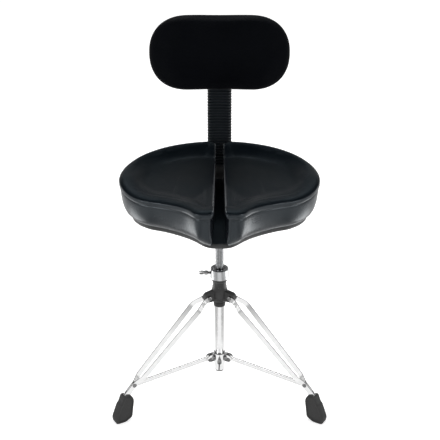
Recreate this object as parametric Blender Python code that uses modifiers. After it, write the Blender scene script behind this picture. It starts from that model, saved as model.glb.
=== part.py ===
"""Drum throne: a split saddle seat with a backrest, on a threaded spindle in a folding three-legged stand.

Lengths are in metres and +Z is up. The sitter faces -Y, and left and right are as seen from the front.
Every piece is its own object; the pieces of one moving group hang from an empty on that group's joint axis.
"""

import math

import bmesh
import bpy
from mathutils import Matrix, Vector
from mathutils.geometry import interpolate_bezier

# Clearances
GAP = 0.0003
SLIDE_GAP = 0.0004
SPINDLE_CLEARANCE = 0.0004

# Centre tube and top casting
SPINDLE_OD = 0.019
TUBE_CLEARANCE = 0.0005
TUBE_WALL = 0.0012
TUBE_ID = SPINDLE_OD + 2 * TUBE_CLEARANCE
TUBE_OD = TUBE_ID + 2 * TUBE_WALL
TUBE_BOTTOM_Z = 0.062
TUBE_SEAT_DEPTH = 0.028
END_CAP_FLANGE = 0.003
END_CAP_PLUG = 0.012
PIVOT_Z = 0.268
CASTING_RISE = 0.044
CASTING_DROP = 0.018
NUT_WALL = 0.0036
NUT_OD = SPINDLE_OD + 2 * NUT_WALL
CASTING_WALL = 0.0025
CASTING_NECK_OD = NUT_OD + 2 * CASTING_WALL
CASTING_LIP_PROUD = 0.0019
CASTING_LIP_OD = CASTING_NECK_OD + 2 * CASTING_LIP_PROUD
CASTING_LIP_H = 0.007
CASTING_FLARE = 0.003
CASTING_WAIST_OD = CASTING_NECK_OD + 2 * CASTING_FLARE
PIVOT_STANDOFF = 0.0124
PIVOT_R = CASTING_WAIST_OD / 2 + PIVOT_STANDOFF
SLEEVE_WALL = 0.0022
SLEEVE_OD = TUBE_OD + 2 * SLEEVE_WALL
LUG_THICKNESS = 0.014
LUG_END_R = 0.0115
LOWER_RING_PROUD = 0.0005
LOWER_RING_OD = SLEEVE_OD + 2 * LOWER_RING_PROUD
LOWER_RING_H = 0.011
NUT_H = 0.019
CASTING_SCREW_D = 0.0045
CASTING_SCREW_RISE = 0.0235

# Spindle and its lock
SPINDLE_LENGTH = 0.300
WASHER_LAND = 0.004
WASHER_OD = SPINDLE_OD + 2 * WASHER_LAND
WASHER_T = 0.0014
COLLAR_RECESS_LAND = 0.00475
COLLAR_RECESS_OD = SPINDLE_OD + 2 * COLLAR_RECESS_LAND
COLLAR_WALL = 0.0071
COLLAR_OD = COLLAR_RECESS_OD + 2 * COLLAR_WALL
COLLAR_H = 0.026
COLLAR_RECESS_DEPTH = 0.003
COLLAR_SLIT = 0.0024
COLLAR_PIN_D = 0.0042
COLLAR_PIN_INSET = 0.00385
COLLAR_PIN_R = COLLAR_OD / 2 - COLLAR_PIN_INSET
COLLAR_PIN_AZIMUTH = math.radians(155)
COLLAR_SLIT_AZIMUTH = math.radians(205)

# Wing bolts
BOLT_SHANK_D = 0.0066
BOLT_HUB_D = 0.0105
BOLT_HUB_L = 0.010
WING_SPAN = 0.017
WING_REACH = 0.016
WING_T = 0.0028
LOCK_BOLT_STANDOFF = 0.006
LOCK_BOLT_REST = math.radians(-50)
SPIDER_BOLT_STANDOFF = 0.002
SPIDER_BOLT_REST = math.radians(85)

# Legs
PIVOT_PIN_D = 0.007
RIVET_D = 0.005
RIVET_HEAD_OD = 0.0105
RIVET_HEAD_H = 0.002
STRAP_WIDTH = 0.0135
STRAP_T = 0.002
KNEE_REACH = 0.026
KNEE_DROP = 0.004
STRAP_FLARE = 0.0055
FLARE_LENGTH = 0.030
STRUT_ABOVE_NECK = 0.029
CONVERGE_ABOVE_STRUT = 0.016
STRAP_INSERT = 0.022

# Rubber boots
BOOT_NECK_R = 0.252
BOOT_NECK_Z = 0.068
BOOT_TOE_OUT = 0.035
BOOT_HEEL_IN = 0.009
BOOT_HEEL_LIFT = 0.010
BOOT_SOLE_LENGTH = 0.025
BOOT_BULGE = 0.006
BOOT_BULGE_DROP = 0.013
BOOT_TOP_HALF = 0.0105
BOOT_TOE_Z = 0.014
BOOT_WIDTH = 0.0245
BOOT_ROUND = 0.0022
BOOT_PANEL_INSET = 0.005
BOOT_PANEL_DEPTH = 0.0012

# Spider and struts
SPIDER_WALL = 0.0038
SPIDER_OD = TUBE_OD + 2 * SPIDER_WALL
SPIDER_PIVOT_STANDOFF = 0.012
SPIDER_PIVOT_R = SPIDER_OD / 2 + SPIDER_PIVOT_STANDOFF
SPIDER_PIVOT_Z = 0.100
SPIDER_RISE = 0.0105
SPIDER_DROP = 0.024
SPIDER_EAR_T = 0.0042
SPIDER_EAR_R = 0.009
SPIDER_PIN_D = 0.005
SPIDER_BOLT_DROP = 0.008
STRUT_WIDTH = 0.0115
STRUT_T = 0.003

# Seat, heights measured from the floor to the side rims
SEAT_Z = 0.571
CUSHION_H = 0.090
SEAT_HALF_WIDTH = 0.2285
SEAT_REAR = 0.205
SEAT_CENTRE_Y = 0.006
SEAT_NOSE = 0.179
NOSE_SHOULDER_X = 0.045
THIGH_X = 0.155
THIGH_Y = 0.094
HIP_X = 0.068
HIP_Y = 0.153
CHANNEL_WIDTH = 0.018
CHANNEL_FLARE = 0.003
CHANNEL_CORNER_R = 0.010
SIDE_TUCK = 0.024
NOSE_TUCK = 0.009
REAR_TUCK = 0.009
CHANNEL_TUCK = 0.0015
THIGH_DROP = 0.014
NOSE_DROP = 0.005
CHANNEL_DROP = 0.007
RIM_RISE = 0.005
REAR_RISE = 0.007
DISH_DEPTH = 0.018
BOARD_T = 0.016
BOARD_MARGIN = 0.002
BOARD_TAPER = 0.010

# Under the seat
PLATE_SCREW_SPACING = 0.122
PLATE_SCREW_MARGIN = 0.014
PLATE_SIDE = PLATE_SCREW_SPACING + 2 * PLATE_SCREW_MARGIN
PLATE_T = 0.004
PLATE_CORNER_R = 0.016
SOCKET_WALL = 0.0065
SOCKET_OD = WASHER_OD + 2 * SOCKET_WALL
SOCKET_SCREW_STANDOFF = 0.011
SOCKET_SCREW_PCD = SOCKET_OD + 2 * SOCKET_SCREW_STANDOFF
SOCKET_SCREW_MARGIN = 0.008
SOCKET_FLANGE_OD = SOCKET_SCREW_PCD + 2 * SOCKET_SCREW_MARGIN
SOCKET_FLANGE_T = 0.005
SOCKET_LENGTH = 0.040
SOCKET_SCREW_AZIMUTH = math.radians(40)
SOCKET_BOLT_D = 0.008
SOCKET_BOLT_DROP = 0.024
SOCKET_BOLT_AZIMUTH = math.radians(50)
SCREW_HOLE_D = 0.0056

# Backrest carrier
BAR_WIDTH = 0.038
BAR_T = 0.008
BAR_BEND_R = 0.040
BAR_BEHIND_SEAT = 0.031
BAR_Y = SEAT_REAR + BAR_BEHIND_SEAT
BAR_TOP_Z = 0.800
BAR_FRONT_MARGIN = 0.006
GUIDE_T = 0.0025
GUIDE_LENGTH = 0.066
GUIDE_Y = 0.126
GUIDE_FLANGE = 0.018
COVER_RIB_WIDTH = 0.058
COVER_RIB_DEPTH = 0.0245
COVER_CORE_SHARE = 0.77
COVER_PITCH = 0.007
COVER_CLEARANCE = 0.0007

# Backrest
PAD_WIDTH = 0.329
PAD_HEIGHT = 0.181
PAD_T = 0.042
PAD_Z = 0.796
PAD_WAIST = 0.0016
PAD_CROWN = 0.007
PAD_BACK_INSET = 0.007
SHELL_T = 0.007
SHELL_INSET = 0.009
CARRIAGE_T = 0.003
CARRIAGE_LIFT = 0.004
CARRIAGE_SCREW_DX = 0.066
CARRIAGE_SCREW_DZ = 0.050
CARRIAGE_SIDE_MARGIN = 0.009
CARRIAGE_END_MARGIN = 0.012
CARRIAGE_FLANGE_W = CARRIAGE_SCREW_DX + 2 * CARRIAGE_SIDE_MARGIN
CARRIAGE_H = CARRIAGE_SCREW_DZ + 2 * CARRIAGE_END_MARGIN

# Clamping knobs
KNOB_R = 0.018
KNOB_LOBE = 0.0022
KNOB_LOBES = 6
KNOB_H = 0.015
KNOB_NECK_D = 0.013
KNOB_NECK_L = 0.006
KNOB_STUD_D = 0.0076

# Facets
ROUND_STEPS = 32
SMALL_STEPS = 16
TINY_STEPS = 12

# Heights that follow from the sizes above
CASTING_TOP = PIVOT_Z + CASTING_RISE
CASTING_BOTTOM = PIVOT_Z - CASTING_DROP
COLLAR_BOTTOM = CASTING_TOP + GAP
COLLAR_TOP = COLLAR_BOTTOM + COLLAR_H
CUSHION_BOTTOM = SEAT_Z - CUSHION_H
BOARD_TOP = CUSHION_BOTTOM - GAP
BOARD_BOTTOM = BOARD_TOP - BOARD_T
PLATE_TOP = BOARD_BOTTOM - GAP
PLATE_BOTTOM = PLATE_TOP - PLATE_T
SOCKET_TOP = PLATE_BOTTOM - GAP
SOCKET_BOTTOM = SOCKET_TOP - SOCKET_LENGTH
SPINDLE_TOP = SOCKET_TOP - WASHER_T - 2 * GAP
BAR_Z = BOARD_BOTTOM - SLIDE_GAP - BAR_T / 2
CARRIAGE_BOTTOM = PAD_Z - PAD_HEIGHT / 2 + CARRIAGE_LIFT
CARRIAGE_DEPTH = BAR_T + 2 * (SLIDE_GAP + CARRIAGE_T)
SHELL_BACK_Y = BAR_Y - CARRIAGE_DEPTH / 2 - GAP
PAD_BACK_Y = SHELL_BACK_Y - SHELL_T - GAP
STRAP_INNER_TOP = LUG_THICKNESS / 2 + GAP
STRAP_INNER_LOW = STRUT_T / 2 + GAP

LEG_AZIMUTHS = {"left": math.radians(210), "right": math.radians(330), "rear": math.radians(90)}

for stale in list(bpy.data.objects):
    bpy.data.objects.remove(stale)

PARTS = bpy.data.collections.new("drum_throne")
CUTTERS = bpy.data.collections.new("drum_throne_cutters")
bpy.context.scene.collection.children.link(PARTS)
bpy.context.scene.collection.children.link(CUTTERS)


def make_material(name, colour, roughness, metallic):
    material = bpy.data.materials.new(name)
    material.use_nodes = True
    shader = material.node_tree.nodes["Principled BSDF"]
    shader.inputs["Base Color"].default_value = (*colour, 1.0)
    shader.inputs["Roughness"].default_value = roughness
    shader.inputs["Metallic"].default_value = metallic
    return material


CHROME = make_material("chrome", (0.80, 0.81, 0.82), 0.10, 1.0)
BLACK_CASTING = make_material("black_casting", (0.025, 0.025, 0.028), 0.42, 0.6)
BLACK_STEEL = make_material("black_steel", (0.020, 0.020, 0.022), 0.38, 0.7)
BLACK_ZINC = make_material("black_zinc", (0.060, 0.060, 0.065), 0.40, 0.9)
BRASS = make_material("brass", (0.66, 0.49, 0.22), 0.30, 1.0)
BLACK_PLASTIC = make_material("black_plastic", (0.022, 0.022, 0.024), 0.48, 0.0)
BLACK_RUBBER = make_material("black_rubber", (0.018, 0.018, 0.019), 0.72, 0.0)
BOARD_PLASTIC = make_material("board_plastic", (0.050, 0.050, 0.055), 0.62, 0.0)
BLACK_VINYL = make_material("black_vinyl", (0.015, 0.015, 0.017), 0.34, 0.0)


def empty(name, parent=None, location=(0, 0, 0), turn_z=0.0):
    found = bpy.data.objects.new(name, None)
    found.empty_display_size = 0.02
    found.location = location
    found.rotation_euler = (0, 0, turn_z)
    found.parent = parent
    PARTS.objects.link(found)
    return found


def place(name, mesh, material, parent, location=(0, 0, 0), smooth_angle=35):
    """One sub-part from its mesh, shaded smooth except at its sharp edges."""
    mesh.name = name
    mesh.materials.clear()
    mesh.materials.append(material)
    mesh.shade_smooth()
    mesh.set_sharp_from_angle(angle=math.radians(smooth_angle))
    part = bpy.data.objects.new(name, mesh)
    part.location = location
    part.parent = parent
    PARTS.objects.link(part)
    return part


def mesh_from(build):
    """A mesh filled by build(bm), with its faces pointing out."""
    bm = bmesh.new()
    build(bm)
    bmesh.ops.recalc_face_normals(bm, faces=bm.faces)
    mesh = bpy.data.meshes.new("shape")
    bm.to_mesh(mesh)
    bm.free()
    return mesh


def baked(obj):
    """The object's evaluated mesh with its caps welded; the object itself is removed."""
    bpy.context.view_layer.update()
    graph = bpy.context.evaluated_depsgraph_get()
    mesh = bpy.data.meshes.new_from_object(obj.evaluated_get(graph))
    bm = bmesh.new()
    bm.from_mesh(mesh)
    bmesh.ops.remove_doubles(bm, verts=bm.verts, dist=1e-6)
    bmesh.ops.recalc_face_normals(bm, faces=bm.faces)
    bm.to_mesh(mesh)
    bm.free()
    bpy.data.objects.remove(obj)
    return mesh


def turned(profile, steps=ROUND_STEPS, ring=False):
    """A profile of (radius, z) points, turned about Z. A ring's profile closes on itself."""
    mesh = bpy.data.meshes.new("profile")
    edges = [(i, i + 1) for i in range(len(profile) - 1)]
    if ring:
        edges.append((len(profile) - 1, 0))
    mesh.from_pydata([(radius, 0, z) for radius, z in profile], edges, [])
    obj = bpy.data.objects.new("turned", mesh)
    bpy.context.scene.collection.objects.link(obj)
    screw = obj.modifiers.new("Screw", "SCREW")
    screw.steps = steps
    screw.render_steps = steps
    screw.use_merge_vertices = True
    screw.merge_threshold = 1e-5
    return baked(obj)


def rod(diameter, low, high, steps=SMALL_STEPS, chamfer=0.0):
    radius = diameter / 2
    if chamfer:
        face = radius - chamfer
        side = [(face, high), (radius, high - chamfer), (radius, low + chamfer), (face, low)]
    else:
        side = [(radius, high), (radius, low)]
    return turned([(0, high), *side, (0, low)], steps)


def tube(outer, inner, low, high, steps=ROUND_STEPS):
    profile = [(outer / 2, high), (outer / 2, low), (inner / 2, low), (inner / 2, high)]
    return turned(profile, steps, ring=True)


def plate(outlines, thickness):
    """Flat outlines, holes among them, thickened about Z = 0."""
    curve = bpy.data.curves.new("outline", "CURVE")
    curve.dimensions = "2D"
    curve.fill_mode = "BOTH"
    curve.extrude = thickness / 2
    for points in outlines:
        spline = curve.splines.new("POLY")
        spline.points.add(len(points) - 1)
        for target, (x, y) in zip(spline.points, points):
            target.co = (x, y, 0, 1)
        spline.use_cyclic_u = True
    obj = bpy.data.objects.new("plate", curve)
    bpy.context.scene.collection.objects.link(obj)
    return baked(obj)


def box(size, centre=(0, 0, 0)):
    def build(bm):
        bmesh.ops.create_cube(bm, size=1.0)
        bmesh.ops.scale(bm, vec=size, verts=bm.verts)
        bmesh.ops.translate(bm, vec=centre, verts=bm.verts)

    return mesh_from(build)


def moved(mesh, matrix):
    mesh.transform(matrix)
    return mesh


def combine(part, mesh, operation, name):
    """Adds a Boolean to a part, with its tool kept hidden beside the parts."""
    tool = bpy.data.objects.new(f"{part.name}_{name}", mesh)
    tool.hide_render = True
    tool.display_type = "WIRE"
    tool.parent = part
    CUTTERS.objects.link(tool)
    modifier = part.modifiers.new(name, "BOOLEAN")
    modifier.operation = operation
    modifier.solver = "EXACT"
    modifier.object = tool


def cut(part, mesh, name):
    combine(part, mesh, "DIFFERENCE", name)


def fuse(part, mesh, name):
    combine(part, mesh, "UNION", name)


def soften(part, width, segments=2, angle=30):
    bevel = part.modifiers.new("Bevel", "BEVEL")
    bevel.width = width
    bevel.segments = segments
    bevel.limit_method = "ANGLE"
    bevel.angle_limit = math.radians(angle)


def loft(rings):
    """A closed skin through rings of equal point count, capped at both ends."""

    def build(bm):
        loops = [[bm.verts.new(point) for point in ring] for ring in rings]
        count = len(rings[0])
        for low, high in zip(loops, loops[1:]):
            for i in range(count):
                j = (i + 1) % count
                bm.faces.new((low[i], low[j], high[j], high[i]))
        bm.faces.new(loops[0])
        bm.faces.new(loops[-1])

    return mesh_from(build)


def circle(centre, radius, steps=TINY_STEPS, start=0.0):
    turns = [start + 2 * math.pi * i / steps for i in range(steps)]
    return [(centre[0] + radius * math.cos(a), centre[1] + radius * math.sin(a)) for a in turns]


def arc(centre, radius, start, end, steps):
    turns = [start + (end - start) * i / steps for i in range(steps + 1)]
    return [(centre[0] + radius * math.cos(a), centre[1] + radius * math.sin(a)) for a in turns]


def rounded_rectangle(width, height, radius, steps=4):
    corners = ((1, 1, 0), (-1, 1, 90), (-1, -1, 180), (1, -1, 270))
    points = []
    for sx, sy, degrees in corners:
        centre = (sx * (width / 2 - radius), sy * (height / 2 - radius))
        start = math.radians(degrees)
        points += arc(centre, radius, start, start + math.pi / 2, steps)
    return points


def band(path, width, steps=6):
    """The outline of a flat strip of constant width along a path, with a round end at each end."""
    path = [Vector(point) for point in path]
    half = width / 2
    sides = {1: [], -1: []}
    for i, point in enumerate(path):
        before = (path[i] - path[i - 1]).normalized() if i else None
        after = (path[i + 1] - path[i]).normalized() if i < len(path) - 1 else None
        along = ((before or after) + (after or before)).normalized()
        normal = Vector((-along.y, along.x))
        lean = along.dot(after or before)
        for side in sides:
            sides[side].append(point + normal * side * half / lean)
    start = path[1] - path[0]
    end = path[-1] - path[-2]
    start_angle = math.atan2(start.y, start.x)
    end_angle = math.atan2(end.y, end.x)
    outline = [tuple(point) for point in sides[-1][1:-1]]
    outline += arc(path[-1], half, end_angle - math.pi / 2, end_angle + math.pi / 2, steps)
    outline += [tuple(point) for point in reversed(sides[1][1:-1])]
    outline += arc(path[0], half, start_angle + math.pi / 2, start_angle + 3 * math.pi / 2, steps)
    return outline


def upright(mesh):
    """Stands a flat XY outline up in the XZ plane, its thickness along Y."""
    return moved(mesh, Matrix.Rotation(math.pi / 2, 4, "X"))


def along_y(mesh):
    """Turns a piece made along +Z to point along +Y."""
    return moved(mesh, Matrix.Rotation(-math.pi / 2, 4, "X"))


def along_x(mesh):
    """Turns a piece made along +Z to point along +X."""
    return moved(mesh, Matrix.Rotation(math.pi / 2, 4, "Y"))


def square_pattern(spacing_x, spacing_y):
    return [(sx * spacing_x / 2, sy * spacing_y / 2) for sx in (-1, 1) for sy in (-1, 1)]


def make_casting(stand):
    """The tripod's top: a turned body with three lugs, bored for nut, spindle and tube."""
    neck = CASTING_NECK_OD / 2
    waist = CASTING_WAIST_OD / 2
    sleeve = SLEEVE_OD / 2
    lip = CASTING_LIP_OD / 2
    round_off = 0.0015
    profile = [
        (0, CASTING_TOP),
        (lip - round_off, CASTING_TOP),
        (lip, CASTING_TOP - round_off),
        (lip, CASTING_TOP - CASTING_LIP_H),
        (neck, CASTING_TOP - CASTING_LIP_H - round_off),
        (neck, PIVOT_Z + LUG_END_R + CASTING_LIP_H),
        (waist, PIVOT_Z + LUG_END_R),
        (waist, PIVOT_Z - LUG_END_R / 2),
        (sleeve, PIVOT_Z - LUG_END_R),
        (sleeve, CASTING_BOTTOM),
        (0, CASTING_BOTTOM),
    ]
    casting = place("top_casting", turned(profile), BLACK_CASTING, stand)
    for side, azimuth in LEG_AZIMUTHS.items():
        turn = Matrix.Rotation(azimuth, 4, "Z")
        shoulder = (waist / 2, PIVOT_Z + LUG_END_R + CASTING_LIP_H / 2)
        foot = (waist / 2, PIVOT_Z - LUG_END_R)
        end = arc((PIVOT_R, PIVOT_Z), LUG_END_R, -math.pi / 2, math.pi / 2, 8)
        lug = upright(plate([[foot, *end, shoulder]], LUG_THICKNESS))
        fuse(casting, moved(lug, turn), f"lug_{side}")
    bore = SPINDLE_OD / 2 + SPINDLE_CLEARANCE
    nut = NUT_OD / 2 + GAP
    socket = TUBE_OD / 2 + GAP
    tube_top = CASTING_BOTTOM + TUBE_SEAT_DEPTH + GAP
    spare = 0.002
    stepped = [
        (0, CASTING_TOP + spare),
        (nut, CASTING_TOP + spare),
        (nut, CASTING_TOP - NUT_H - GAP),
        (bore, CASTING_TOP - NUT_H - GAP),
        (bore, tube_top),
        (socket, tube_top),
        (socket, CASTING_BOTTOM - spare),
        (0, CASTING_BOTTOM - spare),
    ]
    cut(casting, turned(stepped), "bore")
    for side, azimuth in LEG_AZIMUTHS.items():
        hole = along_y(rod(PIVOT_PIN_D + 2 * GAP, -LUG_THICKNESS, LUG_THICKNESS))
        at_lug = Matrix.Rotation(azimuth, 4, "Z") @ Matrix.Translation((PIVOT_R, 0, PIVOT_Z))
        cut(casting, moved(hole, at_lug), f"pin_hole_{side}")
    screw_z = PIVOT_Z + CASTING_SCREW_RISE
    tip = NUT_OD / 2 + 2 * GAP
    hole = along_y(rod(CASTING_SCREW_D + 2 * GAP, tip - 0.004, CASTING_WAIST_OD, TINY_STEPS))
    facing = Matrix.Translation((0, 0, screw_z)) @ Matrix.Rotation(math.pi, 4, "Z")
    cut(casting, moved(hole, facing), "screw_hole")
    set_screw = along_y(rod(CASTING_SCREW_D, tip, CASTING_NECK_OD / 2 + 0.001, TINY_STEPS))
    place("casting_screw", moved(set_screw, facing), BLACK_ZINC, stand)


def make_stand_core(stand):
    """Tube, end cap, spindle nut and the ring under the casting."""
    tube_top = CASTING_BOTTOM + TUBE_SEAT_DEPTH
    place("centre_tube", tube(TUBE_OD, TUBE_ID, TUBE_BOTTOM_Z, tube_top), CHROME, stand)
    nut_bottom = CASTING_TOP - NUT_H
    inner = SPINDLE_OD + 2 * SPINDLE_CLEARANCE
    place("spindle_nut", tube(NUT_OD, inner, nut_bottom, CASTING_TOP), BRASS, stand)
    ring_top = CASTING_BOTTOM - GAP
    half = LOWER_RING_OD / 2
    hole = TUBE_OD / 2 + GAP
    low = ring_top - LOWER_RING_H
    edge = 0.0012
    face = half - edge
    profile = [(face, ring_top), (half, ring_top - edge), (half, low + edge), (face, low), (hole, low)]
    place("lower_ring", turned([*profile, (hole, ring_top)], ring=True), BLACK_PLASTIC, stand)
    flange_top = TUBE_BOTTOM_Z - GAP
    flange = TUBE_OD / 2
    plug = TUBE_ID / 2 - GAP
    cap = [
        (0, flange_top + END_CAP_PLUG),
        (plug, flange_top + END_CAP_PLUG),
        (plug, flange_top),
        (flange, flange_top),
        (flange - edge, flange_top - END_CAP_FLANGE),
        (0, flange_top - END_CAP_FLANGE),
    ]
    place("tube_end_cap", turned(cap), BLACK_PLASTIC, stand)


def wing_bolt(shank_length, standoff):
    """A wing bolt along +Z: its shank down to -shank_length, hub and two flared wings above standoff."""
    hub = BOLT_HUB_D / 2
    shank = BOLT_SHANK_D / 2
    top = standoff + BOLT_HUB_L
    dome = 0.0025
    profile = [
        (0, top),
        (hub - dome, top),
        (hub, top - dome),
        (hub, standoff),
        (shank, standoff),
        (shank, -shank_length),
        (0, -shank_length),
    ]
    body = turned(profile, SMALL_STEPS)
    root_low = standoff + BOLT_HUB_L * 0.15
    root_high = standoff + BOLT_HUB_L * 0.75
    tip = (WING_SPAN - WING_REACH * 0.3, standoff + BOLT_HUB_L * 0.4 + WING_REACH * 0.7)
    tip_round = arc(tip, WING_REACH * 0.36, -math.pi * 0.35, math.pi * 0.75, 6)
    lower = [(hub * 0.5, root_low), (hub * 1.2, root_low)]
    upper = [(hub * 1.1, root_high), (hub * 0.5, root_high)]
    outline = [*lower, *tip_round, *upper]
    return body, [upright(plate([outline], WING_T)) for _ in range(2)]


def place_wing_bolt(name, parent, shank_length, standoff):
    body, wings = wing_bolt(shank_length, standoff)
    part = place(name, body, CHROME, parent)
    fuse(part, wings[0], "wing_1")
    fuse(part, moved(wings[1], Matrix.Rotation(math.pi, 4, "Z")), "wing_2")
    return part


def make_lock(stand):
    """The split collar that clamps the spindle, its pin and its wing bolt on the left."""
    outer = COLLAR_OD / 2
    inner = SPINDLE_OD / 2 + SPINDLE_CLEARANCE
    recess = COLLAR_RECESS_OD / 2
    edge = 0.0014
    floor = COLLAR_TOP - COLLAR_RECESS_DEPTH
    profile = [
        (outer - edge, COLLAR_TOP),
        (outer, COLLAR_TOP - edge),
        (outer, COLLAR_BOTTOM + edge),
        (outer - edge, COLLAR_BOTTOM),
        (inner, COLLAR_BOTTOM),
        (inner, floor),
        (recess, floor),
        (recess, COLLAR_TOP),
    ]
    collar = place("lock_collar", turned(profile, ring=True), CHROME, stand)
    middle = (COLLAR_TOP + COLLAR_BOTTOM) / 2
    slit = box((COLLAR_OD, COLLAR_SLIT, 2 * COLLAR_H), (COLLAR_OD / 2 + inner * 0.8, 0, middle))
    cut(collar, moved(slit, Matrix.Rotation(COLLAR_SLIT_AZIMUTH, 4, "Z")), "slit")
    pin_spot = (COLLAR_PIN_R * math.cos(COLLAR_PIN_AZIMUTH), COLLAR_PIN_R * math.sin(COLLAR_PIN_AZIMUTH), 0)
    pin_hole = rod(COLLAR_PIN_D + 2 * GAP, COLLAR_BOTTOM - edge, COLLAR_TOP + edge, TINY_STEPS)
    cut(collar, moved(pin_hole, Matrix.Translation(pin_spot)), "pin_hole")
    pin = rod(COLLAR_PIN_D, COLLAR_BOTTOM, COLLAR_TOP + edge / 2, TINY_STEPS)
    place("lock_pin", moved(pin, Matrix.Translation(pin_spot)), BLACK_ZINC, stand)
    bolt_hole = along_x(rod(BOLT_SHANK_D + 2 * GAP, -COLLAR_OD, -inner * 0.8))
    cut(collar, moved(bolt_hole, Matrix.Translation((0, 0, middle))), "bolt_hole")
    axis = empty("lock_bolt_axis", stand, (-outer, 0, middle))
    axis.rotation_euler = (0, -math.pi / 2, 0)
    shank = outer - inner
    bolt = place_wing_bolt("lock_wing_bolt", axis, shank, LOCK_BOLT_STANDOFF)
    bolt.rotation_euler = (0, 0, LOCK_BOLT_REST)


def leg_points():
    """Knee, strut pivot, boot neck and strap foot of a leg, from its pivot, as (outward, up)."""
    knee = Vector((KNEE_REACH, -KNEE_DROP))
    neck = Vector((BOOT_NECK_R - PIVOT_R, BOOT_NECK_Z - PIVOT_Z))
    sole = neck + Vector((BOOT_TOE_OUT - BOOT_ROUND - BOOT_SOLE_LENGTH / 2, -BOOT_NECK_Z))
    shin = (neck - knee).normalized()
    foot = neck + (sole - neck).normalized() * (STRAP_INSERT - STRAP_WIDTH / 2)
    return knee, neck - shin * STRUT_ABOVE_NECK, neck, foot


def strap_offset(station, flare_end, converge_end):
    """How far a strap's inner face stands from the leg's middle plane, along the shin from the knee."""
    wide = STRAP_INNER_TOP + STRAP_FLARE
    if station <= 0:
        return STRAP_INNER_TOP
    if station < flare_end:
        return STRAP_INNER_TOP + STRAP_FLARE * station / flare_end
    if station < converge_end:
        share = (station - flare_end) / (converge_end - flare_end)
        return wide + (STRAP_INNER_LOW - wide) * share
    return STRAP_INNER_LOW


def strap_mesh(side):
    """One flat strap of a leg: kneed, with two holes, flared past the lug and drawn in at the strut."""
    knee, strut_pivot, neck, foot = leg_points()
    along = (neck - knee).normalized()
    outline = band([Vector((0, 0)), knee, neck, foot], STRAP_WIDTH)
    holes = [circle((0, 0), PIVOT_PIN_D / 2 + GAP), circle(strut_pivot, RIVET_D / 2 + GAP)]
    mesh = upright(plate([outline, *holes], STRAP_T))
    converge_end = (strut_pivot - knee).length - CONVERGE_ABOVE_STRUT
    stations = (0.0, FLARE_LENGTH, converge_end)
    start = Vector((knee.x, 0, knee.y))
    direction = Vector((along.x, 0, along.y))
    bm = bmesh.new()
    bm.from_mesh(mesh)
    for station in stations:
        whole = bm.verts[:] + bm.edges[:] + bm.faces[:]
        bmesh.ops.bisect_plane(bm, geom=whole, plane_co=start + direction * station, plane_no=direction)
    for vert in bm.verts:
        station = (vert.co - start).dot(direction)
        middle = strap_offset(station, FLARE_LENGTH, converge_end) + STRAP_T / 2
        vert.co.y += side * middle
    bmesh.ops.recalc_face_normals(bm, faces=bm.faces)
    bm.to_mesh(mesh)
    bm.free()
    return mesh


def rivet_head(bottom, shank_diameter, shank_low):
    """A domed head on a shank, along +Z, with the head's seat at bottom."""
    head = RIVET_HEAD_OD / 2
    shank = shank_diameter / 2
    return [
        (0, bottom + RIVET_HEAD_H),
        (head * 0.6, bottom + RIVET_HEAD_H * 0.85),
        (head, bottom + RIVET_HEAD_H * 0.3),
        (head, bottom),
        (shank, bottom),
        (shank, shank_low),
    ]


def boot_mesh():
    """The rubber boot in side outline, thickened, with shallow side panels, from the leg pivot."""

    def local(radius, z):
        return (radius - PIVOT_R, z - PIVOT_Z)

    top_slope = 0.0025
    heel = BOOT_NECK_R - BOOT_HEEL_IN
    toe = BOOT_NECK_R + BOOT_TOE_OUT
    outline = [
        local(BOOT_NECK_R + BOOT_TOP_HALF, BOOT_NECK_Z + top_slope),
        local(BOOT_NECK_R - BOOT_TOP_HALF, BOOT_NECK_Z - top_slope),
        local(heel - BOOT_BULGE, BOOT_NECK_Z - BOOT_BULGE_DROP),
        local(heel, BOOT_HEEL_LIFT),
        local(toe - BOOT_ROUND - BOOT_SOLE_LENGTH, 0),
        local(toe - BOOT_ROUND, 0),
        local(toe, BOOT_TOE_Z),
    ]
    mesh = upright(plate([outline], BOOT_WIDTH))
    bm = bmesh.new()
    bm.from_mesh(mesh)
    bmesh.ops.dissolve_limit(bm, angle_limit=math.radians(1), verts=bm.verts, edges=bm.edges)
    edges = [edge for edge in bm.edges if edge.calc_face_angle(0) > math.radians(20)]
    bmesh.ops.bevel(bm, geom=edges, offset=BOOT_ROUND, segments=2, profile=0.5, affect="EDGES")
    panels = sorted(bm.faces, key=lambda face: face.calc_area())[-2:]
    bmesh.ops.inset_individual(bm, faces=panels, thickness=BOOT_PANEL_INSET, depth=-BOOT_PANEL_DEPTH)
    bmesh.ops.recalc_face_normals(bm, faces=bm.faces)
    bm.to_mesh(mesh)
    bm.free()
    return mesh


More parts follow.
